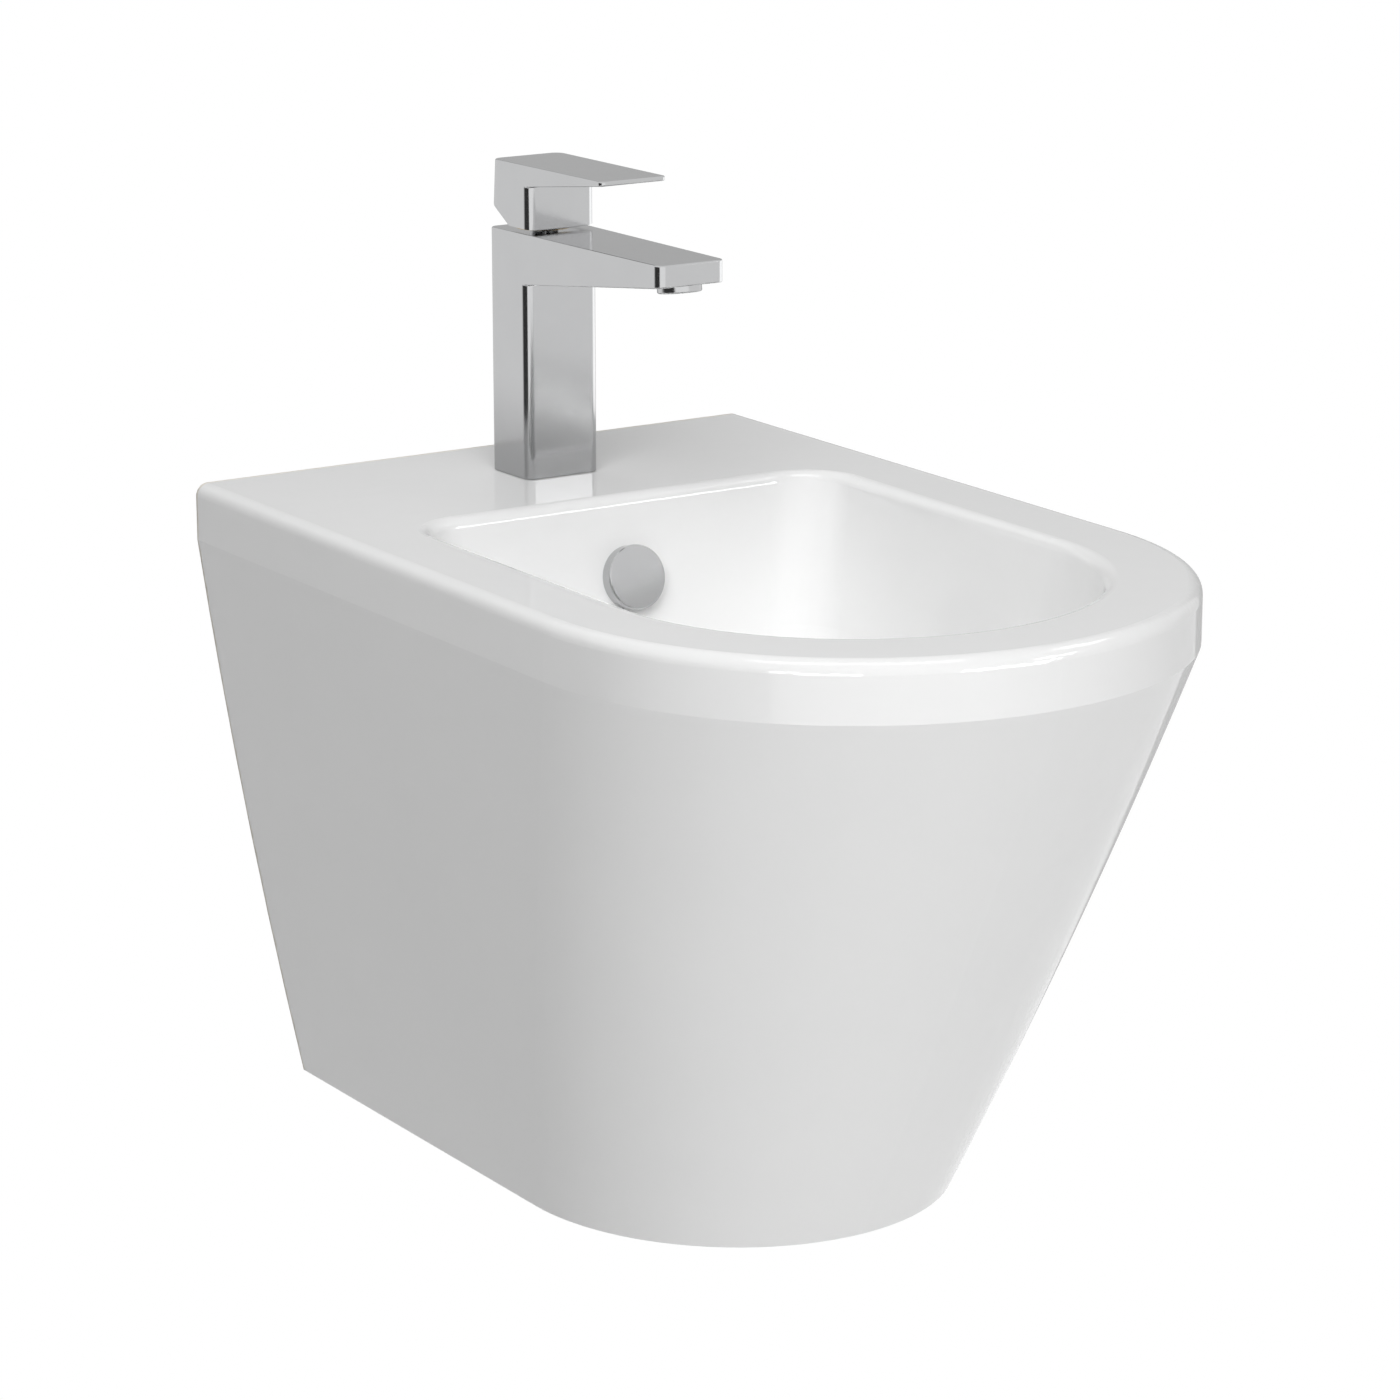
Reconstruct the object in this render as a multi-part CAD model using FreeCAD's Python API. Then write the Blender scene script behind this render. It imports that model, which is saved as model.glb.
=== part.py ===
"""Wall-hung bidet with a single-lever mixer tap.

Millimetres. X runs across, the wall is the plane y = 0 and the front points to -Y, +Z is up.
The origin is midway between the two wall studs, on the ceramic's back face.
"""
import FreeCAD, Part
import math
import os
from FreeCAD import Vector

# Ceramic body, outside
RIM_WIDTH = 355.0
RIM_DEPTH = 540.0
BODY_HEIGHT = 347.5
RIM_ABOVE_STUDS = 90.0
RIM_BAND = 31.0
RIM_EDGE_RADIUS = 7.0
FOOT_WIDTH = 239.6
FOOT_DEPTH = 380.6
FOOT_NOSE = 126.5
SIDE_BULGE = 3.2
NOSE_BULGE = 2.5
WALL = 10.0
DECK = 14.0
BACK_WALL = 20.0
SERVICE_WIDTH = 140.0
SERVICE_BELOW_STUDS = 40.0

# Bowl
BOWL_WIDTH = 261.0
BOWL_FROM_WALL = 150.0
BOWL_DEPTH = 140.0
BOWL_STRAIGHT = 80.0
BOWL_CORNER = 28.0
BOWL_EDGE_RADIUS = 7.0
BOWL_WALL_LEAN = 13.9
FLOOR_WIDTH = 80.0
FLOOR_CORNER = 34.0
FLOOR_STEPS = 6

# Overflow
OVERFLOW_DROP = 43.3
OVERFLOW_HOLE_R = 11.0
COVER_R = 17.6
COVER_STAND = 7.25
COVER_SKIN = 2.0
COVER_EDGE_RADIUS = 1.2
COVER_SLOT = 5.0
COVER_SLOT_DEPTH = 3.0
COVER_SLOT_TURN = 35.0
COVER_PEG_R = 3.0
INSERT_FLANGE = 1.0
INSERT_SKIN = 1.6
INSERT_HUB = 1.8
INSERT_SPOKE = 2.0
INSERT_SPOKES = 3
DUCT_WIDTH = 40.0
DUCT_GAP = 14.0
DUCT_WALL = 8.0
DUCT_RISE = 20.0
PORT_HEIGHT = 18.0
PORT_BELOW_FLOOR = 35.0

# Wall fixing
STUD_SPACING = 180.0
STUD_R = 6.0
STUD_INTO_WALL = 60.0
STUD_NUT_R = 5.0
STUD_PAST_NUT = 6.0
SLEEVE_R = 8.5
SLEEVE_FLANGE_R = 14.0
SLEEVE_FLANGE = 2.0
WASHER_R = 15.0
WASHER = 2.5
NUT_FLATS = 17.0
NUT = 8.4

# Waste
WASTE_FROM_WALL = 285.0
WASTE_HOLE_R = 23.0
NECK_R = 38.0
NECK_LENGTH = 60.0
FLANGE_R = 32.0
FLANGE = 2.5
FLANGE_RECESS = 2.5
FLANGE_SEAL = 2.0
SPIGOT_R = 22.4
SPIGOT = 7.0
THREAD_R = 20.955
TUBE_BORE_R = 18.0
SEAT_MOUTH_R = 23.0
SEAT_DEPTH = 4.0
SLOT_WIDTH = 16.0
UNDER_SEAL_R = 33.0
UNDER_SEAL = 4.0
WASTE_NUT_FLATS = 60.0
WASTE_NUT = 10.0
RELIEF = 2.0
RELIEF_DEPTH = 0.5
TAIL = 47.0
BRIDGE_DROP = 22.0
BRIDGE = 8.0
BRIDGE_ARM = 8.0
HUB_R = 10.5
BARREL_R = 7.0
BARREL_FLANGE = 2.0
BARREL_ABOVE = 12.0
BARREL_BELOW = 28.0
BARREL_FLOOR = 3.0
BARREL_BORE_R = 5.0
PLUG_TRAVEL = 8.0
PLUG_CAP_R = 26.0
PLUG_CAP = 4.0
PLUG_LIFT = 0.5
PLUG_BOSS_R = 7.0
PLUG_BOSS = 4.5
PLUG_SCREW_R = 4.0
PLUG_SEAL = 3.0
STEM_GUIDE = 17.0
SPRING_COIL_R = 3.6
SPRING_WIRE_R = 0.5
SPRING_TURNS = 4

# Tap body
TAP_FROM_WALL = 73.5
TAP_HOLE_R = 17.5
TAP_WIDTH = 46.4
SPOUT_TIP_WIDTH = 41.2
COLUMN_DEPTH = 38.2
COLUMN_CORNER = 4.8
TAP_HEIGHT = 134.7
TAP_RISE = 0.5
SPOUT_REACH = 148.0
SPOUT_ROOT = 27.3
SPOUT_TIP = 11.9
SOFT_EDGE = 0.8
POCKET_WALL = 5.0
POCKET_HEIGHT = 30.0
INLET_R = 4.5
INLET_DEPTH = 12.0
INLET_ACROSS = 8.0
INLET_FORWARD = 4.0
WATERWAY_R = 1.9
RISER_R = 2.0
SPOUT_BORE_R = 3.5
SPOUT_FLOOR = 3.5

# Tap fixing under the deck
BASE_SEAL_INSET = 1.5
BASE_SEAL_WIDTH = 2.0
BASE_SEAL = 1.2
TAP_STUD_R = 4.0
TAP_STUD_BACK = 9.0
TAP_STUD_GRIP = 13.0
CLAMP_R = 24.0
RUBBER_WASHER = 3.0
CLAMP_WASHER = 2.0
TAP_NUT_FLATS = 13.0
TAP_NUT = 6.5
TAP_STUD_TAIL = 20.0

# Cartridge
CHAMBER_R = 12.7
CHAMBER_DEPTH = 29.0
CARTRIDGE_BASE = 5.0
DISC = 3.5
DISC_R = 8.8
PORT_R = 1.7
PORT_ACROSS = 4.6
PORT_OFF = 2.6
PORT_SEAL_INNER_R = 2.1
PORT_SEAL_OUTER_R = 3.3
PORT_SEAL = 1.2
MIX_WIDTH = 13.0
MIX_LENGTH = 7.8
MIX_DEPTH = 1.8
DRIVER_R = 8.0
DRIVER = 6.0
HOUSING_WALL = 1.6
LIP = 1.8
LIP_BORE_R = 9.4
NUT_RING = 4.0
NUT_RING_R = 15.0
GUIDE_PROUD = 0.3
GUIDE_SLOT = 15.0
PIVOT_DROP = 3.0
PIVOT_R = 1.5
STEM_BAR = 6.0
STEM_ARM = 9.8
STEM_BALL_R = 2.4
LIFT_ANGLE = 24.0

# Handle
HANDLE_WIDTH = 43.0
LEVER_TIP_WIDTH = 40.9
HANDLE_TOP = 171.8
HANDLE_GAP = 1.4
HANDLE_SAG = 1.0
HANDLE_BACK = 20.3
HANDLE_BACK_TOP = 18.5
HANDLE_BACK_CORNER = 6.0
HANDLE_FRONT = 19.0
HANDLE_REACH = 92.0
HANDLE_HEEL = 12.0
LEVER_ROOT = 11.3
LEVER_TIP = 2.5
LEVER_TIP_CORNER = 3.0
HANDLE_SHELL = 4.0
SOCKET_BOSS_R = 8.0
SOCKET_DEPTH = 21.0
SCREW_R = 2.5
SCREW_BOSS = 1.6
SCREW_ABOVE = 17.0
SCREW_CAP = 2.0
SCREW_CAP_R = 3.2

# Nozzle
NOZZLE_FROM_TIP = 12.6
NOZZLE_R = 11.8
NOZZLE_DROP = 3.7
NOZZLE_EDGE_RADIUS = 1.0
NOZZLE_THREAD_R = 11.0
NOZZLE_THREAD = 7.0
NOZZLE_SKIN = 1.0
NOZZLE_LIP = 1.4
NOZZLE_GASKET = 1.0
BALL_R = 8.9
BALL_RISE = 4.8
BALL_CUT = 4.0
BALL_BORE_R = 6.5
SEAT_HEIGHT = 6.0
SCREEN = 2.0
SCREEN_HOLE_R = 0.5
SCREEN_RINGS = 2
SCREEN_FIRST_RING = 6
SCREEN_PITCH = 2.2

# Clearances
RUNNING = 0.05
THREAD_PLAY = 0.05
SEAT_PLAY = 0.1
SLIP = 0.2
CLEAR = 0.4
HOSE_PLAY = 1.0
OVERCUT = 1.0
BACK_TRIM = 0.1
SAME_LEVEL = 1e-4

# Levels and places worked out from the sizes
TOP_Z = RIM_ABOVE_STUDS
FOOT_Z = TOP_Z - BODY_HEIGHT
CREASE_Z = TOP_Z - RIM_BAND
NOSE_Y = -(RIM_DEPTH - RIM_WIDTH / 2)
LEAN = math.tan(math.radians(BOWL_WALL_LEAN))
FLOOR_Z = TOP_Z - BOWL_DEPTH
WASTE_Y = -WASTE_FROM_WALL
TAP_Y = -TAP_FROM_WALL
TAP_TOP_Z = TOP_Z + TAP_HEIGHT
COLUMN_FRONT_Y = TAP_Y - COLUMN_DEPTH / 2
COLUMN_BACK_Y = TAP_Y + COLUMN_DEPTH / 2
SPOUT_TIP_Y = TAP_Y - SPOUT_REACH
RISE = math.tan(math.radians(TAP_RISE))
CHAMBER_Z = TAP_TOP_Z - CHAMBER_DEPTH
PIVOT_Z = TAP_TOP_Z - PIVOT_DROP
NOZZLE_Y = SPOUT_TIP_Y + NOZZLE_FROM_TIP
PORT_Z = FLOOR_Z - PORT_BELOW_FLOOR
UP = Vector(0, 0, 1)


def cylinder(radius, x, y, low, high):
    """Upright cylinder between two levels."""
    return Part.makeCylinder(radius, high - low, Vector(x, y, low), UP)


def ring(outer, inner, x, y, low, high):
    """Upright ring between two levels."""
    return cylinder(outer, x, y, low, high).cut(cylinder(inner, x, y, low, high))


def box(low, high):
    """Box between two corners."""
    size = Vector(*high) - Vector(*low)
    return Part.makeBox(size.x, size.y, size.z, Vector(*low))


def hexagon(flats, x, y, low, high):
    """Upright hexagonal prism, given across its flats."""
    reach = flats / math.sqrt(3)
    turns = [math.radians(60 * i) for i in range(7)]
    points = [Vector(x + reach * math.cos(a), y + reach * math.sin(a), low) for a in turns]
    return Part.Face(Part.makePolygon(points)).extrude(Vector(0, 0, high - low))


def side_prism(points, width):
    """Prism across X whose side outline is a list of (y, z) points."""
    outline = [Vector(-width / 2, y, z) for y, z in points]
    return Part.Face(Part.makePolygon(outline + outline[:1])).extrude(Vector(width, 0, 0))


def tapered_form(points, half_back, half_front):
    """Side outline of (y, z) points, narrowed evenly in plan from back to front."""
    back = max(y for y, z in points)
    front = min(y for y, z in points)
    low = min(z for y, z in points)
    high = max(z for y, z in points)
    plan = [Vector(-half_back, back, low), Vector(half_back, back, low)]
    plan += [Vector(half_front, front, low), Vector(-half_front, front, low)]
    wedge = Part.Face(Part.makePolygon(plan + plan[:1])).extrude(Vector(0, 0, high - low))
    return side_prism(points, 2 * max(half_back, half_front) + OVERCUT).common(wedge).Solids[0]


def revolve(points, x, y):
    """Solid of revolution about an upright axis, from (radius, z) points."""
    outline = [Vector(x + r, y, z) for r, z in points]
    return Part.Face(Part.makePolygon(outline + outline[:1])).revolve(Vector(x, y, 0), UP, 360)


def rounded_block(width, depth, corner, x, y, low, high):
    """Upright block with rounded vertical edges."""
    block = box((x - width / 2, y - depth / 2, low), (x + width / 2, y + depth / 2, high))
    return block.makeFillet(corner, [e for e in block.Edges if is_upright(e)])


def is_upright(edge):
    """True for a straight vertical edge."""
    run = edge.Vertexes[-1].Point - edge.Vertexes[0].Point
    return isinstance(edge.Curve, Part.Line) and abs(run.z) > 0.999 * run.Length


def edges_at(shape, level):
    """Edges that lie wholly in a level plane."""
    found = []
    for edge in shape.Edges:
        room = edge.BoundBox
        if max(abs(room.ZMin - level), abs(room.ZMax - level)) < SAME_LEVEL:
            found.append(edge)
    return found


def all_around(shape, radius):
    """The shape with every sharp edge rounded a little."""
    return shape.makeFillet(radius, shape.Edges)


# Ceramic body

def quarter_ellipse(start, corner, end):
    """Exact quarter of an ellipse, tangent to both legs of a corner."""
    curve = Part.BSplineCurve()
    weights = [1.0, math.sqrt(0.5), 1.0]
    curve.buildFromPolesMultsKnots([start, corner, end], [3, 3], [0.0, 1.0], False, 2, weights)
    return curve.toShape()


def d_outline(half, depth, nose, back, level):
    """Closed D: straight back and sides, half-elliptic nose."""
    side_y = nose - depth
    left_back = Vector(-half, back, level)
    left = Vector(-half, side_y, level)
    tip = Vector(0, -depth, level)
    right = Vector(half, side_y, level)
    right_back = Vector(half, back, level)
    return Part.Wire([
        Part.makeLine(left_back, left),
        quarter_ellipse(left, Vector(-half, -depth, level), tip),
        quarter_ellipse(tip, Vector(half, -depth, level), right),
        Part.makeLine(right, right_back),
        Part.makeLine(right_back, left_back),
    ])


def skirt_outline(share, inset, back):
    """Skirt's outline at a share of its height, moved in by a wall."""
    bulge = 4 * share * (1 - share)
    half = FOOT_WIDTH / 2 + share * (RIM_WIDTH - FOOT_WIDTH) / 2 + SIDE_BULGE * bulge
    depth = FOOT_DEPTH + share * (RIM_DEPTH - FOOT_DEPTH) + NOSE_BULGE * bulge
    nose = FOOT_NOSE + share * (RIM_WIDTH / 2 - FOOT_NOSE)
    level = FOOT_Z + share * (CREASE_Z - FOOT_Z)
    return d_outline(half - inset, depth - inset, nose - inset, back, level)


def skirt(inset, back, top):
    """Tapered skirt with the straight rim band above it, cut flat at its back."""
    wires = [skirt_outline(share, inset, back + BACK_TRIM) for share in (0.0, 0.5, 1.0)]
    band = Part.Face(wires[-1]).extrude(Vector(0, 0, top - CREASE_Z))
    whole = Part.makeLoft(wires, True, False).fuse(band)
    behind = box((-RIM_WIDTH, back, FOOT_Z - OVERCUT), (RIM_WIDTH, back + 2 * OVERCUT, top + OVERCUT))
    return whole.cut(behind)


def bowl_outline(inset, corner, level):
    """Bowl's outline: straight back with round corners, straight sides, round front."""
    half = BOWL_WIDTH / 2 - inset
    back = -BOWL_FROM_WALL - inset
    bend = corner * (1 - math.sqrt(0.5))
    slant = half * math.sqrt(0.5)

    def at(x, y):
        return Vector(x, y, level)

    def arc(a, b, c):
        return Part.Arc(a, b, c).toShape()

    return Part.Wire([
        Part.makeLine(at(corner - half, back), at(half - corner, back)),
        arc(at(half - corner, back), at(half - bend, back - bend), at(half, back - corner)),
        Part.makeLine(at(half, back - corner), at(half, NOSE_Y)),
        arc(at(half, NOSE_Y), at(slant, NOSE_Y - slant), at(0, NOSE_Y - half)),
        arc(at(0, NOSE_Y - half), at(-slant, NOSE_Y - slant), at(-half, NOSE_Y)),
        Part.makeLine(at(-half, NOSE_Y), at(-half, back - corner)),
        arc(at(-half, back - corner), at(bend - half, back - bend), at(corner - half, back)),
    ])


def bowl(skin):
    """Bowl's hollow, or with a skin the outside of its wall."""
    start = LEAN * BOWL_STRAIGHT
    run = (BOWL_WIDTH - FLOOR_WIDTH) / 2 - start
    drop = BOWL_DEPTH - BOWL_STRAIGHT
    sine = LEAN * drop / (run - LEAN * drop)
    first = math.asin(sine)
    across = run / math.cos(first)
    down = drop / (1 - sine)
    upper = [bowl_outline(-skin, BOWL_CORNER + skin, TOP_Z)]
    upper.append(bowl_outline(start - skin, BOWL_CORNER + skin, TOP_Z - BOWL_STRAIGHT))
    lower = []
    for step in range(FLOOR_STEPS + 1):
        share = step / FLOOR_STEPS
        angle = first + share * (math.pi / 2 - first)
        inset = start + run - across * math.cos(angle) - skin
        fall = down * (math.sin(angle) - sine)
        corner = BOWL_CORNER + share * (FLOOR_CORNER - BOWL_CORNER) + skin
        level = TOP_Z - BOWL_STRAIGHT - fall - skin * fall / drop
        lower.append(bowl_outline(inset, corner, level))
    return Part.makeLoft(upper, True, True).fuse(Part.makeLoft(lower, True, False))


def bowl_back_y(level):
    """Place of the bowl's straight back wall at a level."""
    return -BOWL_FROM_WALL - LEAN * (TOP_Z - level)


def overflow_point():
    """Middle of the overflow hole on the bowl's back wall."""
    level = TOP_Z - OVERFLOW_DROP
    return Vector(0, bowl_back_y(level), level)


def overflow_axis():
    """Direction that the bowl's back wall faces."""
    return Vector(0, -1, LEAN).normalize()


def overflow_duct(grow):
    """Channel from behind the overflow hole to the waste neck, or with grow its outside."""
    half = DUCT_WIDTH / 2 + grow
    head = TOP_Z - OVERFLOW_DROP + DUCT_RISE + grow
    foot = PORT_Z - PORT_HEIGHT / 2 - grow
    near = [(bowl_back_y(z) + WALL - grow, z) for z in (head, foot)]
    far = [(bowl_back_y(z) + WALL + DUCT_GAP + grow, z) for z in (foot, head)]
    leg = side_prism(near + far, 2 * half)
    reach = bowl_back_y(PORT_Z) + WALL + DUCT_GAP
    floor = box((-half, WASTE_Y, foot), (half, reach, PORT_Z + PORT_HEIGHT / 2 + grow))
    return leg.fuse(floor)


def stud_places():
    """Wall fixing centres across X."""
    return [-STUD_SPACING / 2, STUD_SPACING / 2]


def along_y(shape, x):
    """Turn an upright fixing part so that its +Z points to the wall, at a stud."""
    turned = shape.copy()
    turned.rotate(Vector(0, 0, 0), Vector(1, 0, 0), -90)
    turned.translate(Vector(x, 0, 0))
    return turned


def make_ceramic_body():
    """Glazed body: rim, skirt, bowl, deck, waste neck, overflow duct and fixing wall."""
    body = skirt(0, 0, TOP_Z)
    rim_edges = [e for e in edges_at(body, TOP_Z) if e.BoundBox.YMin < -1]
    body = body.makeFillet(RIM_EDGE_RADIUS, rim_edges)
    body = body.cut(bowl(0))
    reach = RIM_WIDTH / 2 - RIM_EDGE_RADIUS - OVERCUT
    inner = [e for e in edges_at(body, TOP_Z) if e.BoundBox.YMax < -1 and e.BoundBox.XMax < reach]
    inner = [e for e in inner if e.BoundBox.XMin > -reach and e.BoundBox.YMin > NOSE_Y - reach]
    body = body.makeFillet(BOWL_EDGE_RADIUS, inner)
    neck = cylinder(NECK_R, 0, WASTE_Y, FLOOR_Z - NECK_LENGTH, FLOOR_Z)
    hollow = skirt(WALL, -BACK_WALL, TOP_Z - DECK)
    for keep in (bowl(WALL), neck, overflow_duct(DUCT_WALL)):
        hollow = hollow.cut(keep)
    body = body.cut(hollow)
    body = body.cut(cylinder(FLANGE_R + OVERCUT, 0, WASTE_Y, FLOOR_Z - FLANGE_RECESS, FLOOR_Z))
    body = body.cut(cylinder(WASTE_HOLE_R, 0, WASTE_Y, FLOOR_Z - NECK_LENGTH - OVERCUT, FLOOR_Z))
    body = body.cut(overflow_duct(0))
    axis = overflow_axis()
    drill = WALL + DUCT_GAP / 2
    start = overflow_point() - axis * (drill - OVERCUT)
    body = body.cut(Part.makeCylinder(OVERFLOW_HOLE_R, drill, start, axis))
    body = body.cut(cylinder(TAP_HOLE_R, 0, TAP_Y, TOP_Z - DECK - OVERCUT, TOP_Z + OVERCUT))
    for x in stud_places():
        body = body.cut(along_y(cylinder(SLEEVE_R, 0, 0, -BACK_WALL - OVERCUT, OVERCUT), x))
    half = SERVICE_WIDTH / 2
    window = box((-half, -BACK_WALL - OVERCUT, FOOT_Z - OVERCUT), (half, OVERCUT, -SERVICE_BELOW_STUDS))
    return body.cut(window)


# Overflow cover and its insert

def on_overflow(shape):
    """Move a part made on the Z axis so that it stands on the bowl's back wall."""
    placed = shape.copy()
    placed.rotate(Vector(0, 0, 0), Vector(1, 0, 0), 90 - BOWL_WALL_LEAN)
    placed.translate(overflow_point())
    return placed


def insert_depth():
    """How far the insert reaches into the wall."""
    return WALL - OVERCUT


def make_overflow_cover():
    """Cup-shaped cover with a peg, slotted on its lower side."""
    cup = cylinder(COVER_R, 0, 0, 0, COVER_STAND)
    cup = cup.makeFillet(COVER_EDGE_RADIUS, edges_at(cup, COVER_STAND))
    cup = cup.cut(cylinder(COVER_R - COVER_SKIN, 0, 0, -OVERCUT, COVER_STAND - COVER_SKIN))
    cup = cup.fuse(cylinder(COVER_PEG_R, 0, 0, -insert_depth(), COVER_STAND - COVER_SKIN))
    half = COVER_SLOT / 2
    for turn in (-COVER_SLOT_TURN, 0, COVER_SLOT_TURN):
        slot = box((-half, -COVER_R - OVERCUT, -OVERCUT), (half, -COVER_R / 2, COVER_SLOT_DEPTH))
        slot.rotate(Vector(0, 0, 0), UP, turn)
        cup = cup.cut(slot)
    return on_overflow(cup)


def make_overflow_insert():
    """Plastic collar in the overflow hole, with a hub on three spokes for the cover's peg."""
    outer = OVERFLOW_HOLE_R - SEAT_PLAY
    inner = outer - INSERT_SKIN
    hub = COVER_PEG_R + INSERT_HUB
    collar = cylinder(outer, 0, 0, -insert_depth(), INSERT_FLANGE)
    collar = collar.fuse(cylinder(outer + INSERT_SKIN, 0, 0, 0, INSERT_FLANGE))
    collar = collar.cut(cylinder(inner, 0, 0, -insert_depth(), INSERT_FLANGE))
    collar = collar.fuse(cylinder(hub, 0, 0, -insert_depth(), 0))
    half = INSERT_SPOKE / 2
    for step in range(INSERT_SPOKES):
        spoke = box((hub - OVERCUT, -half, -insert_depth()), (inner + SEAT_PLAY, half, 0))
        spoke.rotate(Vector(0, 0, 0), UP, 90 + 360 * step / INSERT_SPOKES)
        collar = collar.fuse(spoke)
    collar = collar.cut(cylinder(COVER_PEG_R + SEAT_PLAY, 0, 0, -insert_depth(), INSERT_FLANGE))
    return on_overflow(collar)


# Wall fixing

def at_studs(shape):
    """One copy of a fixing part at each wall stud."""
    return Part.makeCompound([along_y(shape, x) for x in stud_places()])


def nut_face():
    """Level of the washer's inner face, along the stud from the back face."""
    return -BACK_WALL - SLEEVE_FLANGE - WASHER


def make_wall_studs():
    """Stepped studs: a thread for the nut, and a thicker one for the wall's socket."""
    nut_end = cylinder(STUD_NUT_R, 0, 0, nut_face() - NUT - STUD_PAST_NUT, 0)
    return at_studs(nut_end.fuse(cylinder(STUD_R, 0, 0, 0, STUD_INTO_WALL)))


def make_stud_sleeves():
    bore = STUD_NUT_R + SLIP
    inner = -BACK_WALL - SLEEVE_FLANGE
    sleeve = ring(SLEEVE_R - SEAT_PLAY, bore, 0, 0, inner, 0)
    return at_studs(sleeve.fuse(ring(SLEEVE_FLANGE_R, bore, 0, 0, inner, -BACK_WALL)))


def make_stud_washers():
    return at_studs(ring(WASHER_R, STUD_NUT_R + SLIP, 0, 0, nut_face(), nut_face() + WASHER))


def make_stud_nuts():
    nut = hexagon(NUT_FLATS, 0, 0, nut_face() - NUT, nut_face())
    return at_studs(nut.cut(cylinder(STUD_NUT_R + THREAD_PLAY, 0, 0, nut_face() - NUT, nut_face())))


# Waste and its push plug

def flange_low_z():
    """Underside of the waste flange, on its seal."""
    return FLOOR_Z - FLANGE_RECESS + FLANGE_SEAL


def flange_top_z():
    return flange_low_z() + FLANGE


def neck_foot_z():
    return FLOOR_Z - NECK_LENGTH


def waste_nut_foot_z():
    return neck_foot_z() - UNDER_SEAL - WASTE_NUT


def bridge_top_z():
    return flange_top_z() - BRIDGE_DROP


def make_waste_flange_seal():
    low = FLOOR_Z - FLANGE_RECESS
    return ring(FLANGE_R - OVERCUT, WASTE_HOLE_R, 0, WASTE_Y, low, flange_low_z())


def make_waste_body():
    """Chromed flange with a conical plug seat, slotted threaded tube and bridge."""
    top = flange_top_z()
    nut_foot = waste_nut_foot_z() - RELIEF
    tail_top = nut_foot - RELIEF
    tail_foot = tail_top - TAIL
    spigot_foot = flange_low_z() - SPIGOT
    relief_r = THREAD_R - RELIEF_DEPTH
    body = revolve([
        (TUBE_BORE_R, tail_foot), (THREAD_R, tail_foot), (THREAD_R, tail_top), (relief_r, tail_top),
        (relief_r, nut_foot), (THREAD_R, nut_foot), (THREAD_R, spigot_foot), (SPIGOT_R, spigot_foot),
        (SPIGOT_R, flange_low_z()), (FLANGE_R, flange_low_z()), (FLANGE_R, top - FLANGE / 2),
        (FLANGE_R - FLANGE / 2, top), (SEAT_MOUTH_R, top), (TUBE_BORE_R, top - SEAT_DEPTH),
    ], 0, WASTE_Y)
    half = PORT_HEIGHT / 2
    slot = box((-SLOT_WIDTH / 2, WASTE_Y - WASTE_HOLE_R, PORT_Z - half),
               (SLOT_WIDTH / 2, WASTE_Y + WASTE_HOLE_R, PORT_Z + half))
    body = body.cut(slot)
    low = bridge_top_z() - BRIDGE
    reach = TUBE_BORE_R + (THREAD_R - TUBE_BORE_R) / 2
    arm = box((-reach, WASTE_Y - BRIDGE_ARM / 2, low), (reach, WASTE_Y + BRIDGE_ARM / 2, bridge_top_z()))
    body = body.fuse(arm.fuse(cylinder(HUB_R, 0, WASTE_Y, low, bridge_top_z())))
    return body.cut(cylinder(BARREL_R + THREAD_PLAY, 0, WASTE_Y, low, bridge_top_z()))


def make_waste_under_seal():
    inner = THREAD_R + SLIP
    return ring(UNDER_SEAL_R, inner, 0, WASTE_Y, neck_foot_z() - UNDER_SEAL, neck_foot_z())


def make_waste_nut():
    low = waste_nut_foot_z()
    nut = hexagon(WASTE_NUT_FLATS, 0, WASTE_Y, low, low + WASTE_NUT)
    return nut.cut(cylinder(THREAD_R + THREAD_PLAY, 0, WASTE_Y, low, low + WASTE_NUT))


def barrel_top_z():
    return bridge_top_z() + BARREL_ABOVE


def barrel_floor_z():
    return bridge_top_z() - BARREL_BELOW + BARREL_FLOOR


def make_click_barrel():
    """Fixed barrel of the push mechanism, screwed into the bridge."""
    low = bridge_top_z() - BARREL_BELOW
    barrel = cylinder(BARREL_R, 0, WASTE_Y, low, barrel_top_z())
    barrel = barrel.fuse(cylinder(HUB_R, 0, WASTE_Y, bridge_top_z(), bridge_top_z() + BARREL_FLANGE))
    return barrel.cut(cylinder(BARREL_BORE_R, 0, WASTE_Y, barrel_floor_z(), barrel_top_z()))


def stem_foot_z():
    return barrel_top_z() - STEM_GUIDE - PLUG_TRAVEL


def cap_low_z():
    return flange_top_z() + PLUG_LIFT


def make_plug_stem():
    """Plunger that slides in the barrel and carries the cap."""
    shoulder = cap_low_z() - PLUG_BOSS
    stem = cylinder(BARREL_BORE_R - RUNNING, 0, WASTE_Y, stem_foot_z(), shoulder)
    return stem.fuse(cylinder(PLUG_SCREW_R, 0, WASTE_Y, shoulder, cap_low_z()))


def make_plug_cap():
    """Chromed mushroom cap with a screwed boss."""
    low = cap_low_z()
    cap = cylinder(PLUG_CAP_R, 0, WASTE_Y, low, low + PLUG_CAP)
    cap = cap.makeFillet(PLUG_CAP / 2, edges_at(cap, low + PLUG_CAP))
    boss = ring(PLUG_BOSS_R, PLUG_SCREW_R + THREAD_PLAY, 0, WASTE_Y, low - PLUG_BOSS, low)
    return cap.fuse(boss)


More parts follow.
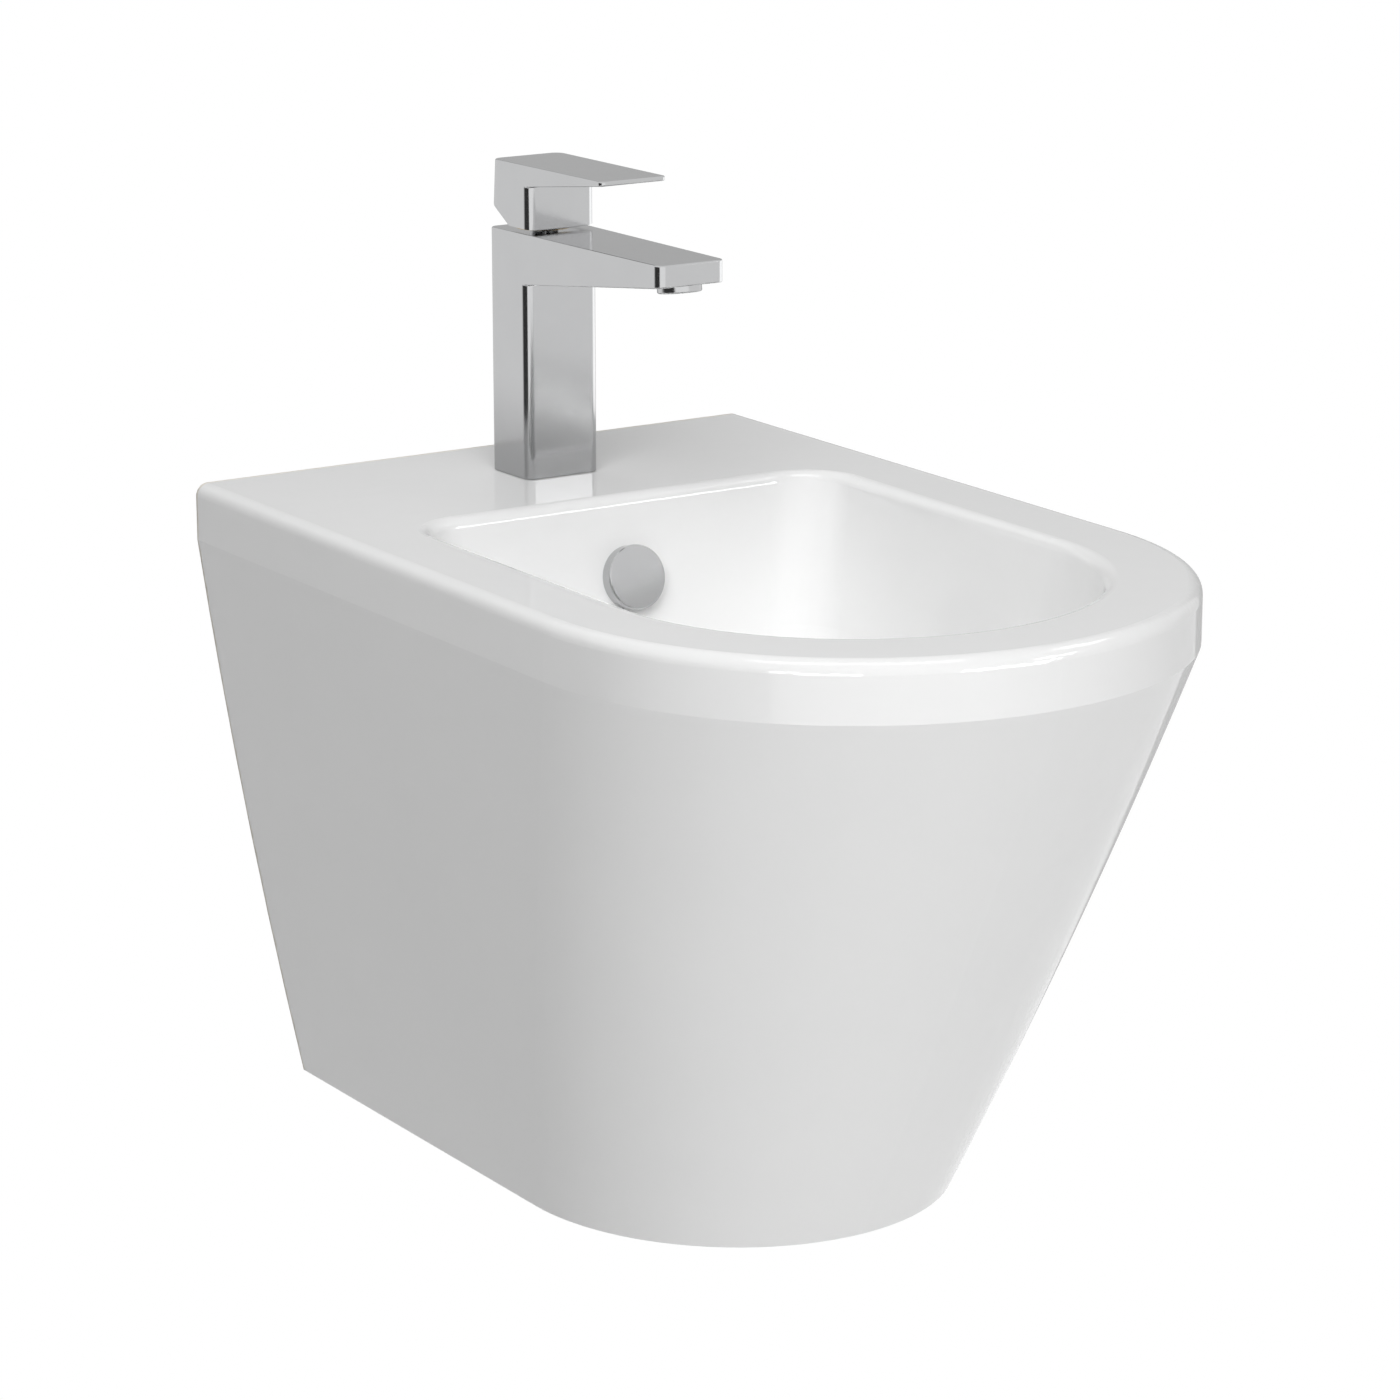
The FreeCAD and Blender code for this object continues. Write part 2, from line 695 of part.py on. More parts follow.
def make_plug_seal():
    """Rubber ring under the cap, bevelled like the conical seat."""
    slope = (SEAT_MOUTH_R - TUBE_BORE_R) / SEAT_DEPTH
    high = cap_low_z()
    low = high - PLUG_SEAL
    inner = PLUG_BOSS_R + SEAT_PLAY
    wide = SEAT_MOUTH_R - CLEAR
    narrow = SEAT_MOUTH_R - slope * (flange_top_z() - low) - CLEAR
    bend = flange_top_z()
    return revolve([(inner, low), (narrow, low), (wide, bend), (wide, high), (inner, high)], 0, WASTE_Y)


def make_click_spring():
    """Coil spring between the barrel's floor and the plunger."""
    low = barrel_floor_z() + SPRING_WIRE_R + RUNNING
    high = stem_foot_z() - SPRING_WIRE_R - RUNNING
    quarters = 4 * SPRING_TURNS

    def on_coil(quarter):
        angle = quarter * math.pi / 2
        level = low + (high - low) * quarter / quarters
        return Vector(SPRING_COIL_R * math.cos(angle), WASTE_Y + SPRING_COIL_R * math.sin(angle), level)

    arcs = [Part.Arc(on_coil(i), on_coil(i + 0.5), on_coil(i + 1)).toShape() for i in range(quarters)]
    path = Part.Wire(arcs)
    wire = Part.Wire([Part.makeCircle(SPRING_WIRE_R, on_coil(0), Vector(0, 1, 0))])
    return path.makePipeShell([wire], True, False)


# Tap body

def tap_top_z(y):
    """Level of the tap's top, which rises a little from the column's back to the spout's tip."""
    return TAP_TOP_Z + RISE * (COLUMN_BACK_Y - y)


def spout_slope():
    """Rise of the spout's underside per millimetre towards its tip."""
    root_z = tap_top_z(COLUMN_FRONT_Y) - SPOUT_ROOT
    tip_z = tap_top_z(SPOUT_TIP_Y) - SPOUT_TIP
    return (tip_z - root_z) / (COLUMN_FRONT_Y - SPOUT_TIP_Y)


def spout_under_z(y):
    """Level of the spout's sloping underside."""
    return tap_top_z(COLUMN_FRONT_Y) - SPOUT_ROOT + spout_slope() * (COLUMN_FRONT_Y - y)


def tap_half(y):
    """Half the tap's width, which narrows towards the spout's tip."""
    return (TAP_WIDTH + (SPOUT_TIP_WIDTH - TAP_WIDTH) * (TAP_Y - y) / SPOUT_REACH) / 2


def tap_form():
    """Outside of the column and spout before its edges are softened."""
    return tapered_form([
        (COLUMN_BACK_Y, TOP_Z), (COLUMN_BACK_Y, TAP_TOP_Z), (SPOUT_TIP_Y, tap_top_z(SPOUT_TIP_Y)),
        (SPOUT_TIP_Y, spout_under_z(SPOUT_TIP_Y)), (COLUMN_FRONT_Y, spout_under_z(COLUMN_FRONT_Y)),
        (COLUMN_FRONT_Y, TOP_Z),
    ], tap_half(COLUMN_BACK_Y), tap_half(SPOUT_TIP_Y))


def bore_between(start, end, radius):
    """Drilled way from one point to another."""
    run = end - start
    return Part.makeCylinder(radius, run.Length, start, run)


def inlet_place(side):
    """Centre of one supply inlet, side -1 or 1."""
    return side * INLET_ACROSS, TAP_Y - INLET_FORWARD


def port_places():
    """Cartridge ports across the chamber floor: two inlets, then the outlet."""
    front = TAP_Y - PORT_OFF
    return [(-PORT_ACROSS, front), (PORT_ACROSS, front), (0, TAP_Y + PORT_OFF)]


def tap_waterways():
    """Supply bores up to the chamber and the outlet's way into the spout."""
    pocket_top = TOP_Z + POCKET_HEIGHT
    cuts = []
    for side, port in zip((-1, 1), port_places()):
        x, y = inlet_place(side)
        cuts.append(cylinder(INLET_R, x, y, pocket_top, pocket_top + INLET_DEPTH))
        start = Vector(x, y, pocket_top + INLET_DEPTH - OVERCUT)
        cuts.append(bore_between(start, Vector(port[0], port[1], CHAMBER_Z + OVERCUT), WATERWAY_R))
    wall = COLUMN_DEPTH / 2 - CHAMBER_R
    riser_y = COLUMN_FRONT_Y + wall / 2
    crossing_z = CHAMBER_Z - 2 * RISER_R
    outlet_x, outlet_y = port_places()[2]
    spout_z = spout_under_z(riser_y) + SPOUT_FLOOR + SPOUT_BORE_R
    cuts.append(cylinder(PORT_R, outlet_x, outlet_y, crossing_z, CHAMBER_Z + OVERCUT))
    crossing = Vector(0, outlet_y + PORT_R, crossing_z)
    cuts.append(bore_between(crossing, Vector(0, riser_y, crossing_z), PORT_R))
    cuts.append(cylinder(RISER_R, 0, riser_y, crossing_z - PORT_R, spout_z))
    nozzle_z = spout_under_z(NOZZLE_Y) + SPOUT_FLOOR + SPOUT_BORE_R
    cuts.append(bore_between(Vector(0, riser_y, spout_z), Vector(0, NOZZLE_Y, nozzle_z), SPOUT_BORE_R))
    return cuts


def make_tap_body():
    """Chromed column and spout with the cartridge chamber and waterways."""
    body = tap_form()
    body = body.makeFillet(COLUMN_CORNER, [e for e in body.Edges if is_upright(e)])
    body = all_around(body, SOFT_EDGE)
    width = TAP_WIDTH - 2 * POCKET_WALL
    depth = COLUMN_DEPTH - 2 * POCKET_WALL
    pocket = rounded_block(width, depth, COLUMN_CORNER, 0, TAP_Y, TOP_Z - OVERCUT, TOP_Z + POCKET_HEIGHT)
    groove = base_seal_ring(SEAT_PLAY, TOP_Z - OVERCUT)
    stud_y = TAP_Y + TAP_STUD_BACK
    stud_top = TOP_Z + POCKET_HEIGHT + TAP_STUD_GRIP
    cuts = [pocket, groove, cylinder(TAP_STUD_R + THREAD_PLAY, 0, stud_y, TOP_Z, stud_top)]
    cuts.append(cylinder(CHAMBER_R, 0, TAP_Y, CHAMBER_Z, TAP_TOP_Z))
    cuts.append(cylinder(NUT_RING_R + THREAD_PLAY, 0, TAP_Y, TAP_TOP_Z - NUT_RING, TAP_TOP_Z + OVERCUT))
    socket = cylinder(NOZZLE_THREAD_R + THREAD_PLAY, 0, 0, -OVERCUT, NOZZLE_THREAD + NOZZLE_GASKET)
    cuts.append(on_spout(socket))
    for cut in cuts + tap_waterways():
        body = body.cut(cut)
    return body


def base_seal_ring(play, low):
    """Frame-shaped seal in the column's foot, or with play its groove."""
    width = TAP_WIDTH - 2 * BASE_SEAL_INSET
    depth = COLUMN_DEPTH - 2 * BASE_SEAL_INSET
    inner_width = width - 2 * BASE_SEAL_WIDTH
    inner_depth = depth - 2 * BASE_SEAL_WIDTH
    corner = COLUMN_CORNER - BASE_SEAL_INSET
    high = TOP_Z + BASE_SEAL + play
    outer = rounded_block(width + play, depth + play, corner, 0, TAP_Y, low, high)
    inner = rounded_block(inner_width - play, inner_depth - play, corner, 0, TAP_Y, low, high)
    return outer.cut(inner)


def make_tap_base_seal():
    return base_seal_ring(0, TOP_Z)


# Tap fixing under the deck

def clamp_plate(low, high):
    """Horseshoe plate around the stud, open to the front for the two supplies."""
    stud_y = TAP_Y + TAP_STUD_BACK
    plate = cylinder(CLAMP_R, 0, TAP_Y, low, high)
    half = INLET_ACROSS + INLET_R + HOSE_PLAY
    slot_back = TAP_Y - INLET_FORWARD + INLET_R + HOSE_PLAY
    front = box((-half, TAP_Y - CLAMP_R, low), (half, slot_back, high))
    plate = plate.cut(front)
    return plate.cut(cylinder(TAP_STUD_R + SLIP, 0, stud_y, low, high))


def make_tap_rubber_washer():
    return clamp_plate(TOP_Z - DECK - RUBBER_WASHER, TOP_Z - DECK)


def make_tap_clamp_washer():
    top = TOP_Z - DECK - RUBBER_WASHER
    return clamp_plate(top - CLAMP_WASHER, top)


def tap_nut_z():
    """Upper face of the nut under the clamp plate."""
    return TOP_Z - DECK - RUBBER_WASHER - CLAMP_WASHER


def make_tap_nut():
    y = TAP_Y + TAP_STUD_BACK
    nut = hexagon(TAP_NUT_FLATS, 0, y, tap_nut_z() - TAP_NUT, tap_nut_z())
    return nut.cut(cylinder(TAP_STUD_R + THREAD_PLAY, 0, y, tap_nut_z() - TAP_NUT, tap_nut_z()))


def make_tap_stud():
    top = TOP_Z + POCKET_HEIGHT + TAP_STUD_GRIP
    return cylinder(TAP_STUD_R, 0, TAP_Y + TAP_STUD_BACK, tap_nut_z() - TAP_NUT - TAP_STUD_TAIL, top)


# Cartridge

def fixed_disc_z():
    return CHAMBER_Z + CARTRIDGE_BASE


def moving_disc_z():
    return fixed_disc_z() + DISC


def driver_z():
    return moving_disc_z() + DISC


def guide_z():
    """Underside of the turning guide."""
    return driver_z() + DRIVER + SLIP


def housing_top_z():
    return TAP_TOP_Z - NUT_RING


def housing_bore_r():
    return CHAMBER_R - SEAT_PLAY - HOUSING_WALL


def disc_travel():
    """How far the stem's ball carries the disc over the full lift."""
    return STEM_ARM * math.sin(math.radians(LIFT_ANGLE))


def disc_y():
    """Centre of the moving disc when the tap is shut."""
    return TAP_Y + disc_travel() / 2


def drill_ports(shape, low, high):
    """The shape with the three cartridge ports through it."""
    for x, y in port_places():
        shape = shape.cut(cylinder(PORT_R, x, y, low, high))
    return shape


def make_cartridge_base():
    low = CHAMBER_Z
    base = cylinder(CHAMBER_R - SEAT_PLAY, 0, TAP_Y, low, fixed_disc_z())
    base = drill_ports(base, low, fixed_disc_z())
    for x, y in port_places():
        base = base.cut(ring(PORT_SEAL_OUTER_R, PORT_SEAL_INNER_R, x, y, low, low + PORT_SEAL))
    return base


def make_cartridge_seals():
    low = CHAMBER_Z
    outer = PORT_SEAL_OUTER_R - THREAD_PLAY
    inner = PORT_SEAL_INNER_R + THREAD_PLAY
    return Part.makeCompound([ring(outer, inner, x, y, low, low + PORT_SEAL) for x, y in port_places()])


def make_cartridge_housing():
    """Tube over the discs, with a lip that keeps the turning guide down."""
    top = housing_top_z()
    tube = ring(CHAMBER_R - SEAT_PLAY, housing_bore_r(), 0, TAP_Y, fixed_disc_z(), top)
    return tube.fuse(ring(CHAMBER_R - SEAT_PLAY, LIP_BORE_R, 0, TAP_Y, top - LIP, top))


def make_fixed_disc():
    low = fixed_disc_z()
    disc = cylinder(housing_bore_r() - SEAT_PLAY, 0, TAP_Y, low, low + DISC)
    return drill_ports(disc, low, low + DISC)


def make_moving_disc():
    """Ceramic disc with the mixing hollow in its underside."""
    low = moving_disc_z()
    disc = cylinder(DISC_R, 0, disc_y(), low, low + DISC)
    front = TAP_Y - PORT_OFF + PORT_R + CLEAR
    half = MIX_WIDTH / 2
    return disc.cut(box((-half, front, low), (half, front + MIX_LENGTH, low + MIX_DEPTH)))


def make_disc_driver():
    """Carrier on the moving disc, with the socket for the stem's ball."""
    low = driver_z()
    driver = cylinder(DRIVER_R, 0, disc_y(), low, low + DRIVER)
    half = STEM_BALL_R + SLIP
    floor = PIVOT_Z - STEM_ARM - half
    return driver.cut(box((-half, TAP_Y - half, floor), (half, TAP_Y + half, low + DRIVER)))


def make_lever_guide():
    """Turning guide that carries the pivot pin; the stem tilts in its slot."""
    low = guide_z()
    step = housing_top_z() - LIP - SLIP
    top = TAP_TOP_Z + GUIDE_PROUD
    guide = cylinder(housing_bore_r() - RUNNING, 0, TAP_Y, low, step)
    guide = guide.fuse(cylinder(LIP_BORE_R - RUNNING, 0, TAP_Y, step, top))
    half = STEM_BAR / 2 + SLIP
    guide = guide.cut(box((-half, TAP_Y - GUIDE_SLOT / 2, low), (half, TAP_Y + GUIDE_SLOT / 2, top)))
    return guide.cut(pivot_bar(PIVOT_R + THREAD_PLAY, LIP_BORE_R))


def pivot_bar(radius, half):
    """Cylinder along X on the lever's tilting axis."""
    return Part.makeCylinder(radius, 2 * half, Vector(-half, TAP_Y, PIVOT_Z), Vector(1, 0, 0))


def make_lever_pin():
    return pivot_bar(PIVOT_R, LIP_BORE_R - 2 * SLIP)


def make_lever_stem():
    """Square stem with the pin's hole, a ball below and the handle's socket above."""
    half = STEM_BAR / 2
    ball_z = PIVOT_Z - STEM_ARM
    top = handle_low_z() + SOCKET_DEPTH
    bar = box((-half, TAP_Y - half, PIVOT_Z - half), (half, TAP_Y + half, top))
    neck = cylinder(STEM_BALL_R * math.sqrt(0.5), 0, TAP_Y, ball_z, PIVOT_Z)
    stem = bar.fuse(neck).fuse(Part.makeSphere(STEM_BALL_R, Vector(0, TAP_Y, ball_z)))
    return stem.cut(pivot_bar(PIVOT_R + RUNNING, half + OVERCUT))


def make_cartridge_nut():
    """Threaded ring that holds the cartridge down."""
    return ring(NUT_RING_R, LIP_BORE_R + SLIP, 0, TAP_Y, housing_top_z(), TAP_TOP_Z)


# Handle

def handle_low_z():
    return tap_top_z(TAP_Y) + HANDLE_GAP


def handle_top_z(y):
    """Level of the handle's top, parallel to the tap's top."""
    return TOP_Z + HANDLE_TOP + RISE * (TAP_Y - y)


def handle_half(y):
    """Half the handle's width, which narrows towards the lever's tip."""
    return (HANDLE_WIDTH + (LEVER_TIP_WIDTH - HANDLE_WIDTH) * (TAP_Y - y) / HANDLE_REACH) / 2


def screw_z():
    return handle_low_z() + SCREW_ABOVE


def handle_form():
    """Outside of the handle: block with a heel chamfer and a flat tapering lever."""
    low = handle_low_z()
    back = TAP_Y + HANDLE_BACK
    back_top = TAP_Y + HANDLE_BACK_TOP
    front = TAP_Y - HANDLE_FRONT
    tip = TAP_Y - HANDLE_REACH
    form = tapered_form([
        (TAP_Y, low), (back, low + HANDLE_HEEL), (back_top, handle_top_z(back_top)),
        (tip, handle_top_z(tip)), (tip, handle_top_z(tip) - LEVER_TIP),
        (front, handle_top_z(front) - LEVER_ROOT), (front, low),
    ], handle_half(back), handle_half(tip))
    form = form.makeFillet(LEVER_TIP_CORNER, upright_between(form, tip - OVERCUT, tip + OVERCUT))
    form = form.makeFillet(COLUMN_CORNER, upright_between(form, front - OVERCUT, front + OVERCUT))
    return form.makeFillet(HANDLE_BACK_CORNER, upright_between(form, TAP_Y, back + OVERCUT))


def upright_between(shape, front, back):
    """Straight edges that run mostly upwards, between two places along Y."""
    found = []
    for edge in shape.Edges:
        run = edge.Vertexes[-1].Point - edge.Vertexes[0].Point
        upright = isinstance(edge.Curve, Part.Line) and abs(run.z) > 0.9 * run.Length
        if upright and edge.BoundBox.YMin > front and edge.BoundBox.YMax < back:
            found.append(edge)
    return found


def sag_cut():
    """What lies under the handle's slightly bowed underside."""
    half = HANDLE_WIDTH / 2
    low = handle_low_z()
    y = TAP_Y - HANDLE_REACH
    left = Vector(-half, y, low + HANDLE_SAG)
    right = Vector(half, y, low + HANDLE_SAG)
    deep_right = Vector(half, y, low - OVERCUT)
    deep_left = Vector(-half, y, low - OVERCUT)
    outline = Part.Wire([
        Part.Arc(left, Vector(0, y, low), right).toShape(),
        Part.makeLine(right, deep_right),
        Part.makeLine(deep_right, deep_left),
        Part.makeLine(deep_left, left),
    ])
    return Part.Face(outline).extrude(Vector(0, HANDLE_REACH + HANDLE_BACK, 0))


def make_handle():
    """Chromed handle, hollow underneath, with the stem's socket and the grub screw's hole."""
    low = handle_low_z()
    body = all_around(handle_form(), SOFT_EDGE).cut(sag_cut())
    half = LEVER_TIP_WIDTH / 2 - HANDLE_SHELL
    roof = handle_top_z(TAP_Y) - LEVER_ROOT
    back = TAP_Y + HANDLE_BACK_TOP - HANDLE_SHELL
    front = TAP_Y - HANDLE_FRONT + HANDLE_SHELL
    pocket = box((-half, front, low - OVERCUT), (half, back, roof))
    pocket = pocket.cut(cylinder(SOCKET_BOSS_R, 0, TAP_Y, low - OVERCUT, roof))
    grip = STEM_BAR / 2 + THREAD_PLAY
    socket_top = low + SOCKET_DEPTH + THREAD_PLAY
    socket = box((-grip, TAP_Y - grip, low - OVERCUT), (grip, TAP_Y + grip, socket_top))
    reach = HANDLE_BACK + OVERCUT
    axis = Vector(0, 1, 0)
    hole = Part.makeCylinder(SCREW_R + THREAD_PLAY, reach, Vector(0, TAP_Y, screw_z()), axis)
    bossed = Part.makeCylinder(SCREW_R + SCREW_BOSS, HANDLE_BACK, Vector(0, TAP_Y, screw_z()), axis)
    body = body.cut(pocket.cut(bossed)).cut(socket).cut(hole)
    cap_y = screw_cap_y()
    return body.cut(Part.makeCylinder(SCREW_CAP_R + THREAD_PLAY, reach, Vector(0, cap_y, screw_z()), axis))


def screw_cap_y():
    """Inner face of the cap over the grub screw."""
    height = handle_top_z(TAP_Y) - handle_low_z() - HANDLE_HEEL
    share = (SCREW_ABOVE - HANDLE_HEEL) / height
    face = TAP_Y + HANDLE_BACK + (HANDLE_BACK_TOP - HANDLE_BACK) * share
    return face - SCREW_CAP


def make_handle_screw():
    start = Vector(0, TAP_Y + STEM_BAR / 2, screw_z())
    return Part.makeCylinder(SCREW_R, screw_cap_y() - SLIP - start.y, start, Vector(0, 1, 0))


def make_screw_cap():
    """Plug over the grub screw, its outer face flush with the handle's leaning back."""
    start = Vector(0, screw_cap_y(), screw_z())
    plug = Part.makeCylinder(SCREW_CAP_R, SCREW_CAP + OVERCUT, start, Vector(0, 1, 0))
    return plug.common(handle_form())


# Nozzle with a swivelling jet, made on the Z axis with the spout's underside at zero

def on_spout(shape):
    """Set a nozzle part square on the spout's sloping underside."""
    placed = shape.copy()
    placed.rotate(Vector(0, 0, 0), Vector(1, 0, 0), -math.degrees(math.atan(spout_slope())))
    placed.translate(Vector(0, NOZZLE_Y, spout_under_z(NOZZLE_Y)))
    return placed


def ball_centre():
    return Vector(0, 0, BALL_RISE - NOZZLE_DROP)


def collar_bore_r():
    return NOZZLE_THREAD_R - NOZZLE_SKIN


def make_nozzle_collar():
    """Chromed collar screwed into the spout; its lip keeps the ball in."""
    low = -NOZZLE_DROP
    lip = low + NOZZLE_LIP
    collar = cylinder(NOZZLE_R, 0, 0, low, 0)
    collar = collar.makeFillet(NOZZLE_EDGE_RADIUS, edges_at(collar, low))
    collar = collar.fuse(cylinder(NOZZLE_THREAD_R, 0, 0, lip, NOZZLE_THREAD))
    collar = collar.cut(cylinder(collar_bore_r(), 0, 0, lip, NOZZLE_THREAD))
    lip_r = math.sqrt(BALL_R ** 2 - (BALL_RISE - NOZZLE_LIP) ** 2) + SLIP
    return on_spout(collar.cut(cylinder(lip_r, 0, 0, low - OVERCUT, lip)))


def make_nozzle_gasket():
    return on_spout(ring(NOZZLE_THREAD_R, BALL_BORE_R, 0, 0, NOZZLE_THREAD, NOZZLE_THREAD + NOZZLE_GASKET))


def make_jet_seat():
    """Plastic ring in the collar with a hollow that the ball turns in."""
    low = NOZZLE_LIP + SEAT_PLAY - NOZZLE_DROP
    seat = cylinder(collar_bore_r() - RUNNING, 0, 0, low, low + SEAT_HEIGHT)
    return on_spout(seat.cut(Part.makeSphere(BALL_R + RUNNING, ball_centre())))


def make_jet_ball():
    """Ball cut flat above and below, bored for the screen."""
    low = ball_centre().z - BALL_CUT
    high = ball_centre().z + BALL_CUT
    ball = Part.makeSphere(BALL_R, ball_centre()).common(cylinder(BALL_R + OVERCUT, 0, 0, low, high))
    return on_spout(ball.cut(cylinder(BALL_BORE_R, 0, 0, low, high)))


def make_jet_screen():
    """Round screen with rings of holes, near the ball's mouth."""
    low = ball_centre().z - BALL_CUT + OVERCUT
    screen = cylinder(BALL_BORE_R - THREAD_PLAY, 0, 0, low, low + SCREEN)
    holes = [cylinder(SCREEN_HOLE_R, 0, 0, low, low + SCREEN)]
    for count in range(1, SCREEN_RINGS + 1):
        steps = SCREEN_FIRST_RING * count
        for step in range(steps):
            angle = 2 * math.pi * step / steps
            reach = count * SCREEN_PITCH
            x = reach * math.cos(angle)
            y = reach * math.sin(angle)
            holes.append(cylinder(SCREEN_HOLE_R, x, y, low, low + SCREEN))
    return on_spout(screen.cut(Part.makeCompound(holes)))


PIECES = {
    "ceramic_body": make_ceramic_body,
    "overflow_cover": make_overflow_cover,
    "overflow_insert": make_overflow_insert,
    "wall_studs": make_wall_studs,
    "stud_sleeves": make_stud_sleeves,
    "stud_washers": make_stud_washers,
    "stud_nuts": make_stud_nuts,
    "waste_body": make_waste_body,
    "waste_flange_seal": make_waste_flange_seal,
    "waste_under_seal": make_waste_under_seal,
    "waste_nut": make_waste_nut,
    "click_barrel": make_click_barrel,
    "click_spring": make_click_spring,
    "plug_stem": make_plug_stem,
    "plug_cap": make_plug_cap,
    "plug_seal": make_plug_seal,
    "tap_body": make_tap_body,
    "tap_base_seal": make_tap_base_seal,
    "tap_stud": make_tap_stud,
    "tap_rubber_washer": make_tap_rubber_washer,
    "tap_clamp_washer": make_tap_clamp_washer,
    "tap_nut": make_tap_nut,
    "cartridge_base": make_cartridge_base,
    "cartridge_seals": make_cartridge_seals,
    "cartridge_housing": make_cartridge_housing,
    "fixed_disc": make_fixed_disc,
    "moving_disc": make_moving_disc,
    "disc_driver": make_disc_driver,
    "lever_guide": make_lever_guide,
    "lever_pin": make_lever_pin,
    "lever_stem": make_lever_stem,
    "cartridge_nut": make_cartridge_nut,
    "handle": make_handle,
    "handle_screw": make_handle_screw,
    "screw_cap": make_screw_cap,
    "nozzle_collar": make_nozzle_collar,
    "nozzle_gasket": make_nozzle_gasket,
    "jet_seat": make_jet_seat,
    "jet_ball": make_jet_ball,
    "jet_screen": make_jet_screen,
}


def main():
    os.makedirs("parts", exist_ok=True)
    for name, make in PIECES.items():
        shape = make()
        print(name, "solids", len(shape.Solids), "volume", round(shape.Volume, 1), "valid", shape.isValid())
        shape.exportStep("parts/" + name + ".step")


main()
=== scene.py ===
# %% [markdown]
# # A wall-hung bidet, dressed for its portrait
# The construction model already has every piece at its true size and place. This lesson loads it
# as a fixed frame and adds what a drawing leaves out: glaze, polish, threads and studio light.

# %% Load the frame
import math

import bpy
from mathutils import Matrix, Vector


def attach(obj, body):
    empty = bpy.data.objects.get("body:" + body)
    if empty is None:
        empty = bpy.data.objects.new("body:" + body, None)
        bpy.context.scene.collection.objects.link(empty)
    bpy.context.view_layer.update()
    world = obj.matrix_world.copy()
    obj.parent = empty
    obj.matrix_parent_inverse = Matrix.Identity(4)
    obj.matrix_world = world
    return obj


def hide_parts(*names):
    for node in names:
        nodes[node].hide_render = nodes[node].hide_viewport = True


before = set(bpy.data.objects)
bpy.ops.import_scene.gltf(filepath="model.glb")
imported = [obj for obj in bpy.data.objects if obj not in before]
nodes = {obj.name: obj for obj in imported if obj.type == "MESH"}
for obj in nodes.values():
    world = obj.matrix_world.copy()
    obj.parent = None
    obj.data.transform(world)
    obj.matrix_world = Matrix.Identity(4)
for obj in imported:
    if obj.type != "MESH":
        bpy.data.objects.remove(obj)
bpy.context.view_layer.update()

# %% [markdown]
# ## Camera
# The photograph was taken from the front left, a little above the rim, with a long lens: upright
# edges stay nearly parallel. Three directions fix a camera without any guesswork: right, up and back.

# %% Camera
LENS_MM = 120.06
FAR_CLIP_M = 100
EYE = Vector((-1.303471, -2.223829, 0.634246))
RIGHT = Vector((0.837174, -0.546937, 0.0))
UP = Vector((0.141937, 0.217257, 0.965740))
BACK = Vector((-0.528199, -0.808492, 0.259513))

eye = bpy.data.cameras.new("portrait_camera")
eye.lens = LENS_MM
eye.clip_end = FAR_CLIP_M
camera = bpy.data.objects.new("portrait_camera", eye)
bpy.context.scene.collection.objects.link(camera)
turn = Matrix((RIGHT, UP, BACK)).transposed().to_4x4()
camera.matrix_world = Matrix.Translation(EYE) @ turn
bpy.context.scene.camera = camera
bpy.context.scene.view_settings.view_transform = "Standard"
print("camera", round(EYE.length, 2), "m from the wall studs")

# %% [markdown]
# ## Studio
# White ware is lit softly, from large boxes, and polished metal shows the room around it: a black
# card gives chrome its dark edge. One set of boxes could do both jobs, but then every change of
# light moves the mirror pictures too. So lamps here only shade, and plain cards are only mirrored.
# Both are placed by two angles and a distance, as one walks round the object with a stand.

# %% A direction in the studio
SUBJECT = Vector((0.0, -0.27, 0.0))


def studio_point(azimuth, elevation, distance):
    """Point seen from the object, azimuth from the front towards the right."""
    a = math.radians(azimuth)
    e = math.radians(elevation)
    away = Vector((math.sin(a) * math.cos(e), -math.cos(a) * math.cos(e), math.sin(e)))
    return SUBJECT + away * distance


def facing_subject(place):
    """Turn that points a lamp or a card at the object."""
    return (SUBJECT - place).to_track_quat("-Z", "Y").to_matrix().to_4x4()


sight = EYE - SUBJECT
side = math.degrees(math.atan2(sight.x, -sight.y))
rise = math.degrees(math.asin(sight.z / sight.length))
print("the camera itself is at azimuth", round(side), "and elevation", round(rise))

# %% Lamps
def softbox(name, azimuth, elevation, distance, width, height, watts):
    """Area lamp that no mirror shows."""
    lamp = bpy.data.lights.new(name, "AREA")
    lamp.shape = "RECTANGLE"
    lamp.size = width
    lamp.size_y = height
    lamp.energy = watts
    box = bpy.data.objects.new(name, lamp)
    bpy.context.scene.collection.objects.link(box)
    place = studio_point(azimuth, elevation, distance)
    box.matrix_world = Matrix.Translation(place) @ facing_subject(place)
    box.visible_camera = False
    box.visible_glossy = False
    print(name, "at", [round(v, 2) for v in place], watts, "W")


# Columns: name, azimuth, elevation, distance, width, height, watts
LAMPS = (
    ("left_softbox", -40, 45, 3.4, 2.6, 2.6, 97),
    ("high_softbox", 25, 55, 3.4, 2.6, 2.6, 10),
    ("front_softbox", -4, 24, 3.4, 2.2, 1.4, 8),
    ("low_softbox", 4, -22, 2.4, 2.4, 0.6, 11),
    ("right_softbox", 50, -22, 2.4, 1.6, 0.6, 6),
    ("top_softbox", 170, 60, 3.4, 3.0, 3.0, 28),
    ("wall_softbox", 180, 4, 3.4, 1.2, 2.2, 42),
)
for lamp_row in LAMPS:
    softbox(*lamp_row)

# %% [markdown]
# ## White room
# The ware stands in front of plain white. A white backdrop would have to be lit, and its light would
# spill on the object. So the room and the floor are white only to the camera and to mirrored or
# refracted rays. For the lamps' light the room is dark and the floor is pale paint, which keeps the
# object's shadow.

# %% Room
WHITE_ROOM = 1.0
ROOM_LIGHT = 0.0


